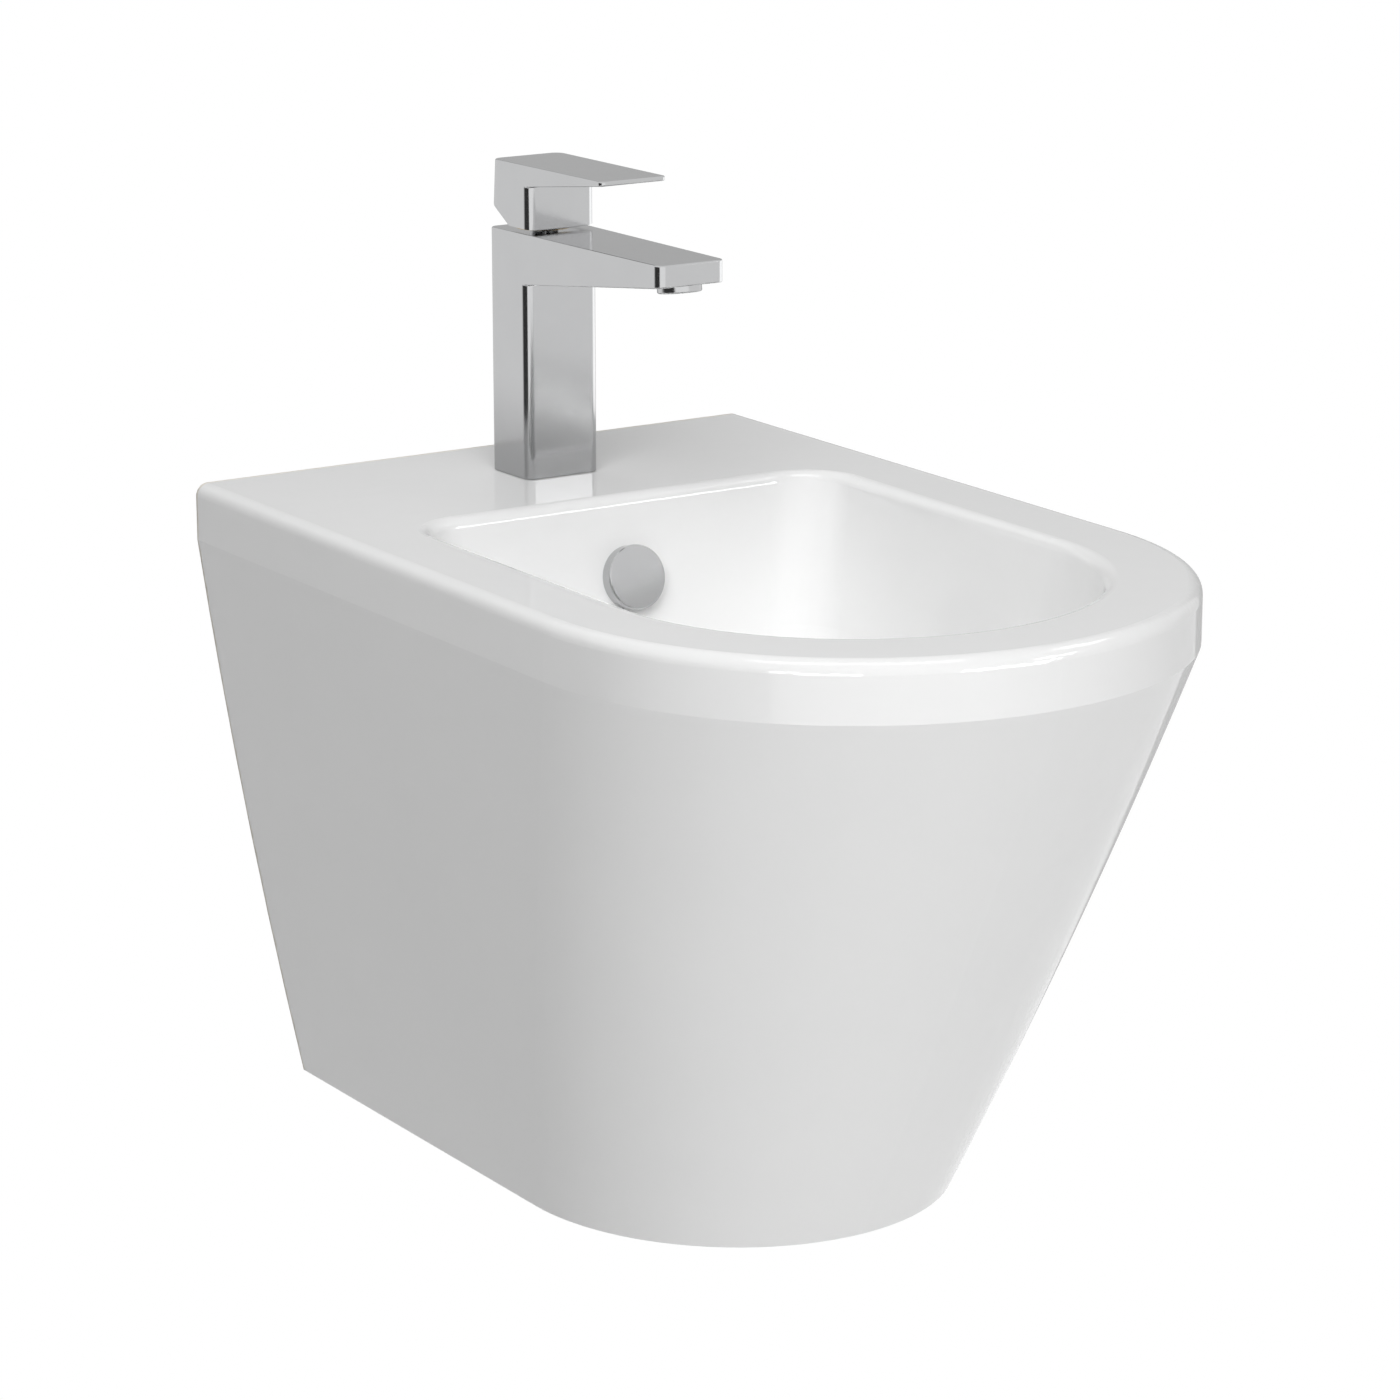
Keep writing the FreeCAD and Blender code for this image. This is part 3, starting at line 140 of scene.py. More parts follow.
def seen_or_reflected(tree):
    """Node socket that is 1 for rays from the camera and for mirrored or refracted ones."""
    path = tree.nodes.new("ShaderNodeLightPath")
    first = tree.nodes.new("ShaderNodeMath")
    first.operation = "MAXIMUM"
    tree.links.new(path.outputs["Is Camera Ray"], first.inputs[0])
    tree.links.new(path.outputs["Is Glossy Ray"], first.inputs[1])
    second = tree.nodes.new("ShaderNodeMath")
    second.operation = "MAXIMUM"
    tree.links.new(first.outputs[0], second.inputs[0])
    tree.links.new(path.outputs["Is Transmission Ray"], second.inputs[1])
    return second.outputs[0]


world = bpy.data.worlds.new("white_room")
bpy.context.scene.world = world
world.use_nodes = True
tree = world.node_tree
tree.nodes.clear()
level = tree.nodes.new("ShaderNodeMapRange")
level.inputs["To Min"].default_value = ROOM_LIGHT
level.inputs["To Max"].default_value = WHITE_ROOM
tree.links.new(seen_or_reflected(tree), level.inputs["Value"])
room = tree.nodes.new("ShaderNodeBackground")
room.inputs["Color"].default_value = (1, 1, 1, 1)
tree.links.new(level.outputs["Result"], room.inputs["Strength"])
out = tree.nodes.new("ShaderNodeOutputWorld")
tree.links.new(room.outputs["Background"], out.inputs["Surface"])
print("world:", world.name)

# %% Floor
FLOOR_Z = -1.25
FLOOR_SIZE = 60
FLOOR_PAINT = (0.8, 0.8, 0.8, 1)

bpy.ops.object.select_all(action="DESELECT")
bpy.ops.mesh.primitive_plane_add(size=FLOOR_SIZE, location=(0, 0, FLOOR_Z))
floor = bpy.context.object
floor.name = "studio_floor"
paint = bpy.data.materials.new("pale_floor")
paint.use_nodes = True
tree = paint.node_tree
tree.nodes.clear()
matt = tree.nodes.new("ShaderNodeBsdfDiffuse")
matt.inputs["Color"].default_value = FLOOR_PAINT
glow = tree.nodes.new("ShaderNodeEmission")
glow.inputs["Strength"].default_value = WHITE_ROOM
mix = tree.nodes.new("ShaderNodeMixShader")
tree.links.new(seen_or_reflected(tree), mix.inputs[0])
tree.links.new(matt.outputs[0], mix.inputs[1])
tree.links.new(glow.outputs[0], mix.inputs[2])
out = tree.nodes.new("ShaderNodeOutputMaterial")
tree.links.new(mix.outputs[0], out.inputs["Surface"])
floor.data.materials.append(paint)
print("floor at", FLOOR_Z)

# %% [markdown]
# ## Mirror cards
# What chrome and glaze show is what stands around them. A dark card at the left draws the dark line
# on the column's corner, broad grey and white ones tone its faces, and small bright ones draw thin
# lights on the glaze's rounded edges and on the column's foot. A real card is mirrored by everything.
# Light linking is kinder: a clear pane adds its light for the named pieces alone, and the others look
# through it.

# %% Cards that only reflections see
def card_glow(tree, level, fade):
    """Light of a card, which may fade to the room's white along one side."""
    glow = tree.nodes.new("ShaderNodeEmission")
    glow.inputs["Strength"].default_value = level
    if fade:
        across = tree.nodes.new("ShaderNodeSeparateXYZ")
        tree.links.new(tree.nodes.new("ShaderNodeTexCoord").outputs["UV"], across.inputs[0])
        soften = tree.nodes.new("ShaderNodeMapRange")
        soften.interpolation_type = "SMOOTHSTEP"
        soften.inputs["From Max"].default_value = fade
        soften.inputs["To Min"].default_value = WHITE_ROOM
        soften.inputs["To Max"].default_value = level
        tree.links.new(across.outputs["X"], soften.inputs["Value"])
        tree.links.new(soften.outputs["Result"], glow.inputs["Strength"])
    return glow.outputs[0]


def reflection_card(name, azimuth, elevation, distance, width, height, level, fade=0, only_for=()):
    """A card, or with only_for a clear pane whose extra light meets the named pieces alone."""
    bpy.ops.object.select_all(action="DESELECT")
    bpy.ops.mesh.primitive_plane_add(size=1)
    card = bpy.context.object
    card.name = name
    place = studio_point(azimuth, elevation, distance)
    grow = Matrix.Diagonal((width, height, 1, 1))
    card.data.transform(Matrix.Translation(place) @ facing_subject(place) @ grow)
    paint = bpy.data.materials.new(name)
    paint.use_nodes = True
    tree = paint.node_tree
    tree.nodes.clear()
    out = tree.nodes.new("ShaderNodeOutputMaterial")
    shine = card_glow(tree, level, fade)
    if only_for:
        clear = tree.nodes.new("ShaderNodeBsdfTransparent")
        both = tree.nodes.new("ShaderNodeAddShader")
        tree.links.new(shine, both.inputs[0])
        tree.links.new(clear.outputs[0], both.inputs[1])
        shine = both.outputs[0]
        group = bpy.data.collections.new(name)
        for piece in only_for:
            group.objects.link(nodes[piece])
        card.light_linking.receiver_collection = group
    tree.links.new(shine, out.inputs["Surface"])
    card.data.materials.append(paint)
    card.visible_camera = False
    card.visible_diffuse = False
    card.visible_shadow = False
    print(name, "at", [round(v, 2) for v in place])


# %% Where the cards stand
WARE = ("ceramic_body",)
TAP = ("tap_body", "handle")
COLUMN = ("tap_body",)

# Columns: name, azimuth, elevation, distance, width, height, brightness
reflection_card("dark_card_left", -99, -8, 3.2, 5.6, 2.6, 0.05, fade=0.35)
reflection_card("bright_card_front", -18, 0, 3.6, 4.8, 3.6, 1.25)
reflection_card("overhead_card", -23, 78, 3.0, 2.2, 0.8, 4.0, only_for=WARE)
reflection_card("window_card", 73, 48, 3.2, 0.9, 0.7, 4.0, only_for=WARE)
reflection_card("strip_card_left", -43, 5, 3.2, 1.6, 0.35, 10.0, only_for=WARE)
reflection_card("strip_card_right", 17, 5, 3.2, 1.8, 0.35, 10.0, only_for=WARE)
reflection_card("edge_card", 34, 21, 3.2, 0.9, 0.45, 10.0, only_for=WARE)
reflection_card("grey_card_back", 147, 8, 2.4, 3.2, 3.1, 0.54)
reflection_card("bright_card_right", 90, -8, 2.2, 2.4, 1.8, 0.75, only_for=TAP)
reflection_card("foot_card", 45.3, 26.5, 0.50, 0.10, 0.08, 2.6, only_for=COLUMN)

# %% [markdown]
# ## Shared surface effects
# Real surfaces are never even. Three small node groups carry the unevenness: cloudy tone, fine
# relief, and dried water spots. Each finish could have its own noise, but then every change is made
# many times. So each group is built once and placed where it is needed with its own values.

# %% An empty group
VALUE = "NodeSocketFloat"
PLACE = "NodeSocketVector"


def new_group(name, numbers, output):
    """Group that takes a place and some numbers and gives one value."""
    group = bpy.data.node_groups.new(name, "ShaderNodeTree")
    group.interface.new_socket("Vector", in_out="INPUT", socket_type=PLACE)
    for label in numbers:
        group.interface.new_socket(label, in_out="INPUT", socket_type=VALUE)
    group.interface.new_socket(output, in_out="OUTPUT", socket_type=VALUE)
    print("group", name, "takes", numbers)
    return group, group.nodes.new("NodeGroupInput"), group.nodes.new("NodeGroupOutput")


# %% Cloudy tone
def build_cloudy_tone():
    """Soft clouds between a low and a high value."""
    group, given, made = new_group("cloudy_tone", ("Scale", "Low", "High"), "Value")
    noise = group.nodes.new("ShaderNodeTexNoise")
    noise.inputs["Detail"].default_value = 4
    noise.inputs["Roughness"].default_value = 0.6
    spread = group.nodes.new("ShaderNodeMapRange")
    spread.inputs["From Min"].default_value = 0.3
    spread.inputs["From Max"].default_value = 0.7
    group.links.new(given.outputs["Vector"], noise.inputs["Vector"])
    group.links.new(given.outputs["Scale"], noise.inputs["Scale"])
    group.links.new(noise.outputs["Fac"], spread.inputs["Value"])
    group.links.new(given.outputs["Low"], spread.inputs["To Min"])
    group.links.new(given.outputs["High"], spread.inputs["To Max"])
    group.links.new(spread.outputs["Result"], made.inputs["Value"])
    return group


cloudy_tone = build_cloudy_tone()

# %% Fine relief
GRAIN_PER_WAVE = 9


def build_fine_relief():
    """Wide waves with a share of fine grain on them."""
    group, given, made = new_group("fine_relief", ("Scale", "Grain"), "Height")
    wide = group.nodes.new("ShaderNodeTexNoise")
    wide.inputs["Detail"].default_value = 1
    fine = group.nodes.new("ShaderNodeTexNoise")
    fine.inputs["Detail"].default_value = 3
    faster = group.nodes.new("ShaderNodeMath")
    faster.operation = "MULTIPLY"
    faster.inputs[1].default_value = GRAIN_PER_WAVE
    weigh = group.nodes.new("ShaderNodeMath")
    weigh.operation = "MULTIPLY_ADD"
    group.links.new(given.outputs["Vector"], wide.inputs["Vector"])
    group.links.new(given.outputs["Vector"], fine.inputs["Vector"])
    group.links.new(given.outputs["Scale"], wide.inputs["Scale"])
    group.links.new(given.outputs["Scale"], faster.inputs[0])
    group.links.new(faster.outputs[0], fine.inputs["Scale"])
    group.links.new(fine.outputs["Fac"], weigh.inputs[0])
    group.links.new(given.outputs["Grain"], weigh.inputs[1])
    group.links.new(wide.outputs["Fac"], weigh.inputs[2])
    group.links.new(weigh.outputs[0], made.inputs["Height"])
    return group


fine_relief = build_fine_relief()

# %% Water spots
def build_water_spots():
    """Round marks of one size on a clean ground."""
    group, given, made = new_group("water_spots", ("Scale", "Size", "Clean", "Marked"), "Value")
    cells = group.nodes.new("ShaderNodeTexVoronoi")
    edge = group.nodes.new("ShaderNodeMapRange")
    edge.interpolation_type = "SMOOTHSTEP"
    edge.inputs["From Min"].default_value = 0.0
    group.links.new(given.outputs["Vector"], cells.inputs["Vector"])
    group.links.new(given.outputs["Scale"], cells.inputs["Scale"])
    group.links.new(cells.outputs["Distance"], edge.inputs["Value"])
    group.links.new(given.outputs["Size"], edge.inputs["From Max"])
    group.links.new(given.outputs["Marked"], edge.inputs["To Min"])
    group.links.new(given.outputs["Clean"], edge.inputs["To Max"])
    group.links.new(edge.outputs["Result"], made.inputs["Value"])
    return group


water_spots = build_water_spots()

# %% [markdown]
# ## Parts of a finish
# Every finish starts from the same shader and feeds it by the piece's own coordinates, so that no
# pattern slides when a piece moves. The few steps that they share are written once.

# %% Helpers for a finish
def new_finish(name, metallic):
    """A material with its node tree and its shader."""
    finish = bpy.data.materials.new(name)
    finish.use_nodes = True
    shader = finish.node_tree.nodes["Principled BSDF"]
    shader.inputs["Metallic"].default_value = metallic
    return finish, finish.node_tree, shader


def own_coordinates(tree):
    """Place on the piece itself, in metres."""
    return tree.nodes.new("ShaderNodeTexCoord").outputs["Object"]


def place_group(tree, group, place, **values):
    """A group in a material, fed with the piece's own coordinates."""
    node = tree.nodes.new("ShaderNodeGroup")
    node.node_tree = group
    tree.links.new(place, node.inputs["Vector"])
    for label, value in values.items():
        node.inputs[label].default_value = value
    return node.outputs[0]


def tint(tree, mask, dark, light):
    """Colour that runs from dark to light as the mask does."""
    mix = tree.nodes.new("ShaderNodeMix")
    mix.data_type = "RGBA"
    mix.inputs["A"].default_value = (*dark, 1)
    mix.inputs["B"].default_value = (*light, 1)
    tree.links.new(mask, mix.inputs["Factor"])
    return mix.outputs["Result"]


def ramp(tree, value, start, end, low=0, high=1):
    """Smooth step from low to high as the value goes from start to end."""
    step = tree.nodes.new("ShaderNodeMapRange")
    step.interpolation_type = "SMOOTHSTEP"
    step.inputs["From Min"].default_value = start
    step.inputs["From Max"].default_value = end
    step.inputs["To Min"].default_value = low
    step.inputs["To Max"].default_value = high
    tree.links.new(value, step.inputs["Value"])
    return step.outputs["Result"]


def relief(tree, shader, height, strength, depth):
    """Bump on the shader's normal."""
    bump = tree.nodes.new("ShaderNodeBump")
    bump.inputs["Strength"].default_value = strength
    bump.inputs["Distance"].default_value = depth
    tree.links.new(height, bump.inputs["Height"])
    tree.links.new(bump.outputs["Normal"], shader.inputs["Normal"])


slots = sorted({node.data.materials[0].name for node in nodes.values()})
print("the frame asks for", slots)

# %% [markdown]
# ## White glaze
# Vitreous china is fired clay under a coat of white glass. The glass is not quite flat and the
# white not quite even. A base white with a thin clear coat could do it. One glossy layer with a
# faint waviness is closer, because the glaze itself is white. The face against the wall is ground
# flat after firing, so there the raw clay shows: dull, warmer and grained, up to an uneven line.

# %% Where the clay is bare
CLAY_EDGE_WAVE = 0.0006
CLAY_EDGE_FRONT = -0.0022
CLAY_EDGE_BACK = -0.0014
MIX_SOCKETS = {"FLOAT": (2, 3, 0), "RGBA": (6, 7, 2)}


def blend_by(tree, mask, first, second, kind):
    """First where the mask is 0, second where it is 1."""
    mix = tree.nodes.new("ShaderNodeMix")
    mix.data_type = kind
    a, b, result = MIX_SOCKETS[kind]
    tree.links.new(mask, mix.inputs["Factor"])
    tree.links.new(first, mix.inputs[a])
    tree.links.new(second, mix.inputs[b])
    return mix.outputs[result]


def raw_clay_mask(tree, place):
    """1 on the face against the wall, with a wavy border."""
    wave = place_group(tree, cloudy_tone, place, Scale=120, Low=-CLAY_EDGE_WAVE, High=CLAY_EDGE_WAVE)
    split = tree.nodes.new("ShaderNodeSeparateXYZ")
    tree.links.new(place, split.inputs[0])
    shifted = tree.nodes.new("ShaderNodeMath")
    tree.links.new(split.outputs["Y"], shifted.inputs[0])
    tree.links.new(wave, shifted.inputs[1])
    return ramp(tree, shifted.outputs[0], CLAY_EDGE_FRONT, CLAY_EDGE_BACK)


print("the clay is bare within", round(-CLAY_EDGE_BACK * 1000, 1), "mm of the wall")

# %% Glaze
GLAZE_WHITES = ((0.890, 0.892, 0.891), (0.908, 0.909, 0.907))
CLAY_TONES = ((0.70, 0.67, 0.61), (0.79, 0.76, 0.70))
GLASS_IOR = 1.5


def make_glaze():
    """White glass over clay, with the clay bare at the wall."""
    finish, tree, shader = new_finish("white_glaze", 0)
    place = own_coordinates(tree)
    bare = raw_clay_mask(tree, place)
    cloud = place_group(tree, cloudy_tone, place, Scale=7, Low=0, High=1)
    white = tint(tree, cloud, *GLAZE_WHITES)
    grain = place_group(tree, cloudy_tone, place, Scale=420, Low=0, High=1)
    clay = tint(tree, grain, *CLAY_TONES)
    tree.links.new(blend_by(tree, bare, white, clay, "RGBA"), shader.inputs["Base Color"])
    gloss = place_group(tree, cloudy_tone, place, Scale=26, Low=0.03, High=0.05)
    dull = place_group(tree, cloudy_tone, place, Scale=300, Low=0.70, High=0.85)
    tree.links.new(blend_by(tree, bare, gloss, dull, "FLOAT"), shader.inputs["Roughness"])
    skin = place_group(tree, fine_relief, place, Scale=60, Grain=0.1)
    ground = place_group(tree, fine_relief, place, Scale=500, Grain=1.2)
    height = blend_by(tree, bare, skin, ground, "FLOAT")
    relief(tree, shader, height, strength=0.05, depth=0.0006)
    shader.inputs["IOR"].default_value = GLASS_IOR
    return finish


finishes = {"glaze": make_glaze()}
print("finish:", finishes["glaze"].name)

# %% [markdown]
# ## Chrome
# Chrome plate is a dark mirror: it gives back a little over half of the light. Fingers and dried
# drops dull it in places. In the photograph the column darkens smoothly towards the deck, as if it
# stood in a darker room. A card can't do that here, because the white deck lies between. So that
# darker reflection is painted into the column's own plate, as painted shade towards its foot.

# %% Chrome plate
CHROME_TONES = ((0.508, 0.511, 0.517), (0.524, 0.527, 0.532))
DECK_Z = 0.090
SHADE_HEIGHT = 0.060
# Share of the plate's colour left at the deck: painted shade.
FOOT_PAINTED_SHADE_SHARE = 0.67


def painted_shade_towards_foot(tree, place, colour):
    """The colour, darkened towards the deck: painted shade for a darker reflection."""
    split = tree.nodes.new("ShaderNodeSeparateXYZ")
    tree.links.new(place, split.inputs[0])
    share = ramp(tree, split.outputs["Z"], DECK_Z, DECK_Z + SHADE_HEIGHT, FOOT_PAINTED_SHADE_SHARE, 1)
    shaded = tree.nodes.new("ShaderNodeVectorMath")
    shaded.operation = "SCALE"
    tree.links.new(colour, shaded.inputs[0])
    tree.links.new(share, shaded.inputs["Scale"])
    return shaded.outputs["Vector"]


def make_chrome(name, painted_shade_foot=False):
    """Polished plate with dried drops, and painted shade at the foot when asked."""
    finish, tree, shader = new_finish(name, 1)
    place = own_coordinates(tree)
    cloud = place_group(tree, cloudy_tone, place, Scale=30, Low=0, High=1)
    plate = tint(tree, cloud, *CHROME_TONES)
    # Painted shade: the plate's colour darkens towards the deck, standing in for a darker reflection.
    if painted_shade_foot:
        plate = painted_shade_towards_foot(tree, place, plate)
    tree.links.new(plate, shader.inputs["Base Color"])
    dull = place_group(tree, water_spots, place, Scale=140, Size=0.22, Clean=0.14, Marked=0.18)
    tree.links.new(dull, shader.inputs["Roughness"])
    return finish


finishes["chrome"] = make_chrome("chrome_plate")
print("finish:", finishes["chrome"].name)

# %% [markdown]
# ## Hidden metals
# The fixings at the wall and under the tap are plain zinc-plated steel, and pieces such as the
# waste's back nut are turned brass. The chrome in other tones could serve for both. But the plating
# bath and the lathe leave a dull skin, so they get a fine relief and a broad, uneven shine.

# %% Brass and steel
METAL_RELIEF_DEPTH = 0.0002


def make_metal(name, dark, light, roughness):
    """Turned or plated metal between two tones and two values of roughness."""
    finish, tree, shader = new_finish(name, 1)
    low, high = roughness
    place = own_coordinates(tree)
    cloud = place_group(tree, cloudy_tone, place, Scale=90, Low=0, High=1)
    tree.links.new(tint(tree, cloud, dark, light), shader.inputs["Base Color"])
    gloss = place_group(tree, cloudy_tone, place, Scale=320, Low=low, High=high)
    tree.links.new(gloss, shader.inputs["Roughness"])
    skin = place_group(tree, fine_relief, place, Scale=700, Grain=0.3)
    relief(tree, shader, skin, strength=0.15, depth=METAL_RELIEF_DEPTH)
    return finish


# Columns: slot, name, dark tone, light tone, roughness
METALS = (
    ("brass", "turned_brass", (0.68, 0.51, 0.25), (0.76, 0.59, 0.31), (0.22, 0.34)),
    ("steel", "zinc_plated_steel", (0.56, 0.57, 0.58), (0.66, 0.67, 0.67), (0.28, 0.42)),
)
for slot, *values in METALS:
    finishes[slot] = make_metal(*values)
    print("finish:", finishes[slot].name)

# %% [markdown]
# ## Rubber, plastics and the cartridge's discs
# Seals are matt and a little dusty, moulded plastic has a fine spark-eroded grain, and the two
# discs are lapped so flat that they shine. Each could have a function of its own, but they differ
# only in tone, shine and grain, so one function makes them all.

# %% Rubber, plastic and disc ceramic
MOULD_RELIEF_DEPTH = 0.0002


def make_moulded(name, dark, light, roughness, grain):
    """Moulded or pressed material, grained by its mould."""
    finish, tree, shader = new_finish(name, 0)
    low, high = roughness
    place = own_coordinates(tree)
    cloud = place_group(tree, cloudy_tone, place, Scale=60, Low=0, High=1)
    tree.links.new(tint(tree, cloud, dark, light), shader.inputs["Base Color"])
    gloss = place_group(tree, cloudy_tone, place, Scale=240, Low=low, High=high)
    tree.links.new(gloss, shader.inputs["Roughness"])
    skin = place_group(tree, fine_relief, place, Scale=900, Grain=0.5)
    relief(tree, shader, skin, strength=grain, depth=MOULD_RELIEF_DEPTH)
    return finish


# Columns: slot and name, dark tone, light tone, roughness, grain
MOULDED = (
    ("black_rubber", (0.020, 0.020, 0.021), (0.045, 0.044, 0.043), (0.62, 0.82), 0.5),
    ("white_plastic", (0.78, 0.78, 0.77), (0.85, 0.85, 0.84), (0.34, 0.46), 0.25),
    ("grey_plastic", (0.50, 0.51, 0.52), (0.57, 0.58, 0.59), (0.26, 0.38), 0.2),
    ("disc_ceramic", (0.86, 0.85, 0.82), (0.91, 0.90, 0.88), (0.08, 0.16), 0.1),
)
for slot, *values in MOULDED:
    finishes[slot] = make_moulded(slot, *values)
    print("finish:", finishes[slot].name)

# %% [markdown]
# ## Dressing the frame
# Each piece of the frame already names its material, so a finish under that name can take its place.
# The tap's body alone gets a plate of its own, the one with painted shade at its foot.

# %% Finishes on the frame's pieces
for node in nodes.values():
    wanted = node.data.materials[0].name
    node.data.materials[0] = finishes[wanted]
# The tap's body gets the plate whose foot has painted shade.
nodes["tap_body"].data.materials[0] = make_chrome("tap_chrome", painted_shade_foot=True)
print("dressed", len(nodes), "pieces in", len(finishes) + 1, "finishes")

# %% [markdown]
# ## Threaded rods
# The wall studs and the rod that holds the tap are cut with a screw thread. It could be painted on
# as relief, but the rod's outline would stay smooth. A real groove costs little: one tooth is drawn
# by extruding a single point, the screw operator winds it once around, an Array stacks that turn
# down the rod, and two cuts end it square. Winding every turn by the operator alone is far slower.

# %% Picking and cutting
MM = 0.001
CUT_SNAP = 1e-6
SAME_LEVEL = 0.01 * MM
FACES_ALONG = 0.9


def only(piece):
    """Select one object and nothing else."""
    bpy.ops.object.select_all(action="DESELECT")
    piece.select_set(True)
    bpy.context.view_layer.objects.active = piece


def pick_faces(wanted):
    """In edit mode, select the faces whose centre and normal are wanted."""
    bpy.ops.mesh.select_mode(type="FACE")
    bpy.ops.mesh.select_all(action="DESELECT")
    bpy.ops.object.mode_set(mode="OBJECT")
    for face in bpy.context.object.data.polygons:
        face.select = wanted(face.center, face.normal)
    bpy.ops.object.mode_set(mode="EDIT")


def cut(point, away):
    """In edit mode, cut off what lies beyond a plane and close the cut."""
    bpy.ops.mesh.select_all(action="SELECT")
    bpy.ops.mesh.bisect(plane_co=point, plane_no=away, use_fill=True, clear_outer=True,
                        threshold=CUT_SNAP)


def taper_end(height, rise, share):
    """In edit mode, draw the end face at a height out into a chamfer."""
    facing = 1 if rise > 0 else -1

    def is_end(centre, normal):
        return abs(centre.z - height) < SAME_LEVEL and normal.z * facing > FACES_ALONG

    pick_faces(is_end)
    bpy.ops.mesh.extrude_region_move(TRANSFORM_OT_translate={"value": (0, 0, rise)})
    bpy.ops.transform.resize(value=(share, share, 1), center_override=(0, 0, height + rise))


print("a cut snaps to points within", CUT_SNAP / MM, "mm")

# %% A threaded rod
STEPS = 32
ROOT_FLAT = 1 / 4
CREST_FLAT = 1 / 8
FLANK = 5 / 16
SPARE_TURNS = 2
WELD_SHARE = 0.01


def draw_tooth(outer, depth, pitch):
    """One tooth as a chain of edges, a pitch high, at the side of the rod."""
    bpy.ops.object.select_all(action="DESELECT")
    bpy.ops.mesh.primitive_plane_add(size=outer, location=(0, 0, 0))
    bpy.ops.object.mode_set(mode="EDIT")
    bpy.ops.mesh.select_mode(type="VERT")
    bpy.ops.mesh.select_all(action="SELECT")
    bpy.ops.mesh.merge(type="CENTER")
    bpy.ops.transform.translate(value=(outer - depth, 0, 0))
    root = (0, 0, pitch * ROOT_FLAT)
    out = (depth, 0, pitch * FLANK)
    crest = (0, 0, pitch * CREST_FLAT)
    back_in = (-depth, 0, pitch * FLANK)
    for step in (root, out, crest, back_in):
        bpy.ops.mesh.extrude_vertices_move(TRANSFORM_OT_translate={"value": step})
    bpy.ops.mesh.select_all(action="SELECT")


def threaded_rod(name, outer, depth, pitch, length):
    """Rod from z = 0 down, closed and chamfered at both ends."""
    draw_tooth(outer, depth, pitch)
    bpy.ops.mesh.screw(steps=STEPS, turns=1, center=(0, 0, 0), axis=(0, 0, -1))
    bpy.ops.object.mode_set(mode="OBJECT")
    rod = bpy.context.object
    rod.name = name
    turns = rod.modifiers.new("turns", "ARRAY")
    turns.count = math.ceil(length / pitch) + SPARE_TURNS
    turns.use_relative_offset = False
    turns.use_constant_offset = True
    turns.constant_offset_displace = (0, 0, -pitch)
    bpy.ops.object.modifier_apply(modifier="turns")
    bpy.ops.object.mode_set(mode="EDIT")
    bpy.ops.mesh.select_all(action="SELECT")
    bpy.ops.mesh.remove_doubles(threshold=pitch * WELD_SHARE)
    bpy.ops.mesh.normals_make_consistent(inside=False)
    cut((0, 0, -depth), (0, 0, 1))
    cut((0, 0, depth - length), (0, 0, -1))
    taper_end(-depth, depth, 1 - depth / outer)
    taper_end(depth - length, -depth, 1 - depth / outer)
    bpy.ops.mesh.select_all(action="SELECT")
    bpy.ops.mesh.normals_make_consistent(inside=False)
    bpy.ops.object.mode_set(mode="OBJECT")
    return rod


print("one turn of thread is wound in", STEPS, "steps")

# %% Placing and dressing a piece
SMOOTH_DEGREES = 35


def put(piece, place, tilt=0.0):
    """Lay a piece over about X, move it, and keep both in its mesh."""
    only(piece)
    piece.rotation_euler = (math.radians(tilt), 0, 0)
    piece.location = place
    bpy.ops.object.transform_apply(location=True, rotation=True, scale=True)


def copied(piece, name, move):
    """A second piece like the first, with its own mesh, moved across."""
    only(piece)
    bpy.ops.object.duplicate(linked=False)
    twin = bpy.context.object
    twin.name = name
    put(twin, move)
    return twin


def joined(piece, other):
    """Make another object part of a piece."""
    only(piece)
    other.select_set(True)
    bpy.ops.object.join()


def dress(piece, slot, stands_for):
    """Finish, body and the frame's piece that this one stands for."""
    only(piece)
    bpy.ops.object.shade_smooth_by_angle(angle=math.radians(SMOOTH_DEGREES))
    piece.data.materials.clear()
    piece.data.materials.append(finishes[slot])
    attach(piece, "basin")
    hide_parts(stands_for)
    print(piece.name, len(piece.data.polygons), "faces")


print("edges up to", SMOOTH_DEGREES, "degrees are shaded smooth")

# %% Wall studs
WALL_END = dict(outer=6.0 * MM, depth=1.07 * MM, pitch=1.75 * MM, length=60.0 * MM)
NUT_END = dict(outer=5.0 * MM, depth=0.92 * MM, pitch=1.5 * MM, length=40.4 * MM)
NUT_END_TIP = -38.9 * MM
STUD_X = 90.0 * MM
LEFT_TO_RIGHT = (2 * STUD_X, 0, 0)
LYING = 90

left_stud = threaded_rod("wall_stud_left", **WALL_END)
put(left_stud, (-STUD_X, 0, 0), LYING)
nut_end = threaded_rod("stud_nut_end", **NUT_END)
put(nut_end, (-STUD_X, NUT_END_TIP, 0), LYING)
joined(left_stud, nut_end)
right_stud = copied(left_stud, "wall_stud_right", LEFT_TO_RIGHT)
dress(left_stud, "steel", "wall_studs")
dress(right_stud, "steel", "wall_studs")

# %% Tap stud
TAP_STUD = dict(outer=4.0 * MM, depth=0.77 * MM, pitch=1.25 * MM, length=88.5 * MM)
TAP_STUD_TOP = 133.0 * MM
TAP_Y = -64.5 * MM

tap_rod = threaded_rod("tap_stud_threaded", **TAP_STUD)
put(tap_rod, (0, TAP_Y, TAP_STUD_TOP))
dress(tap_rod, "steel", "tap_stud")

# %% [markdown]
# ## Nuts
# A nut is turned from round bar, chamfered, and only then milled to six flats: that is why arcs show
# at its corners. A six-sided cylinder with bevelled edges would miss them, so we follow the lathe
# and the mill: a round blank, its ends drawn in, six cuts, and a bore bridged through it.

# %% A hexagon nut
SIDES = 72
FLATS = 6
FACE_SHARE = 0.475
CHAMFER_DEGREES = 30
LEVEL_FACE = 0.99


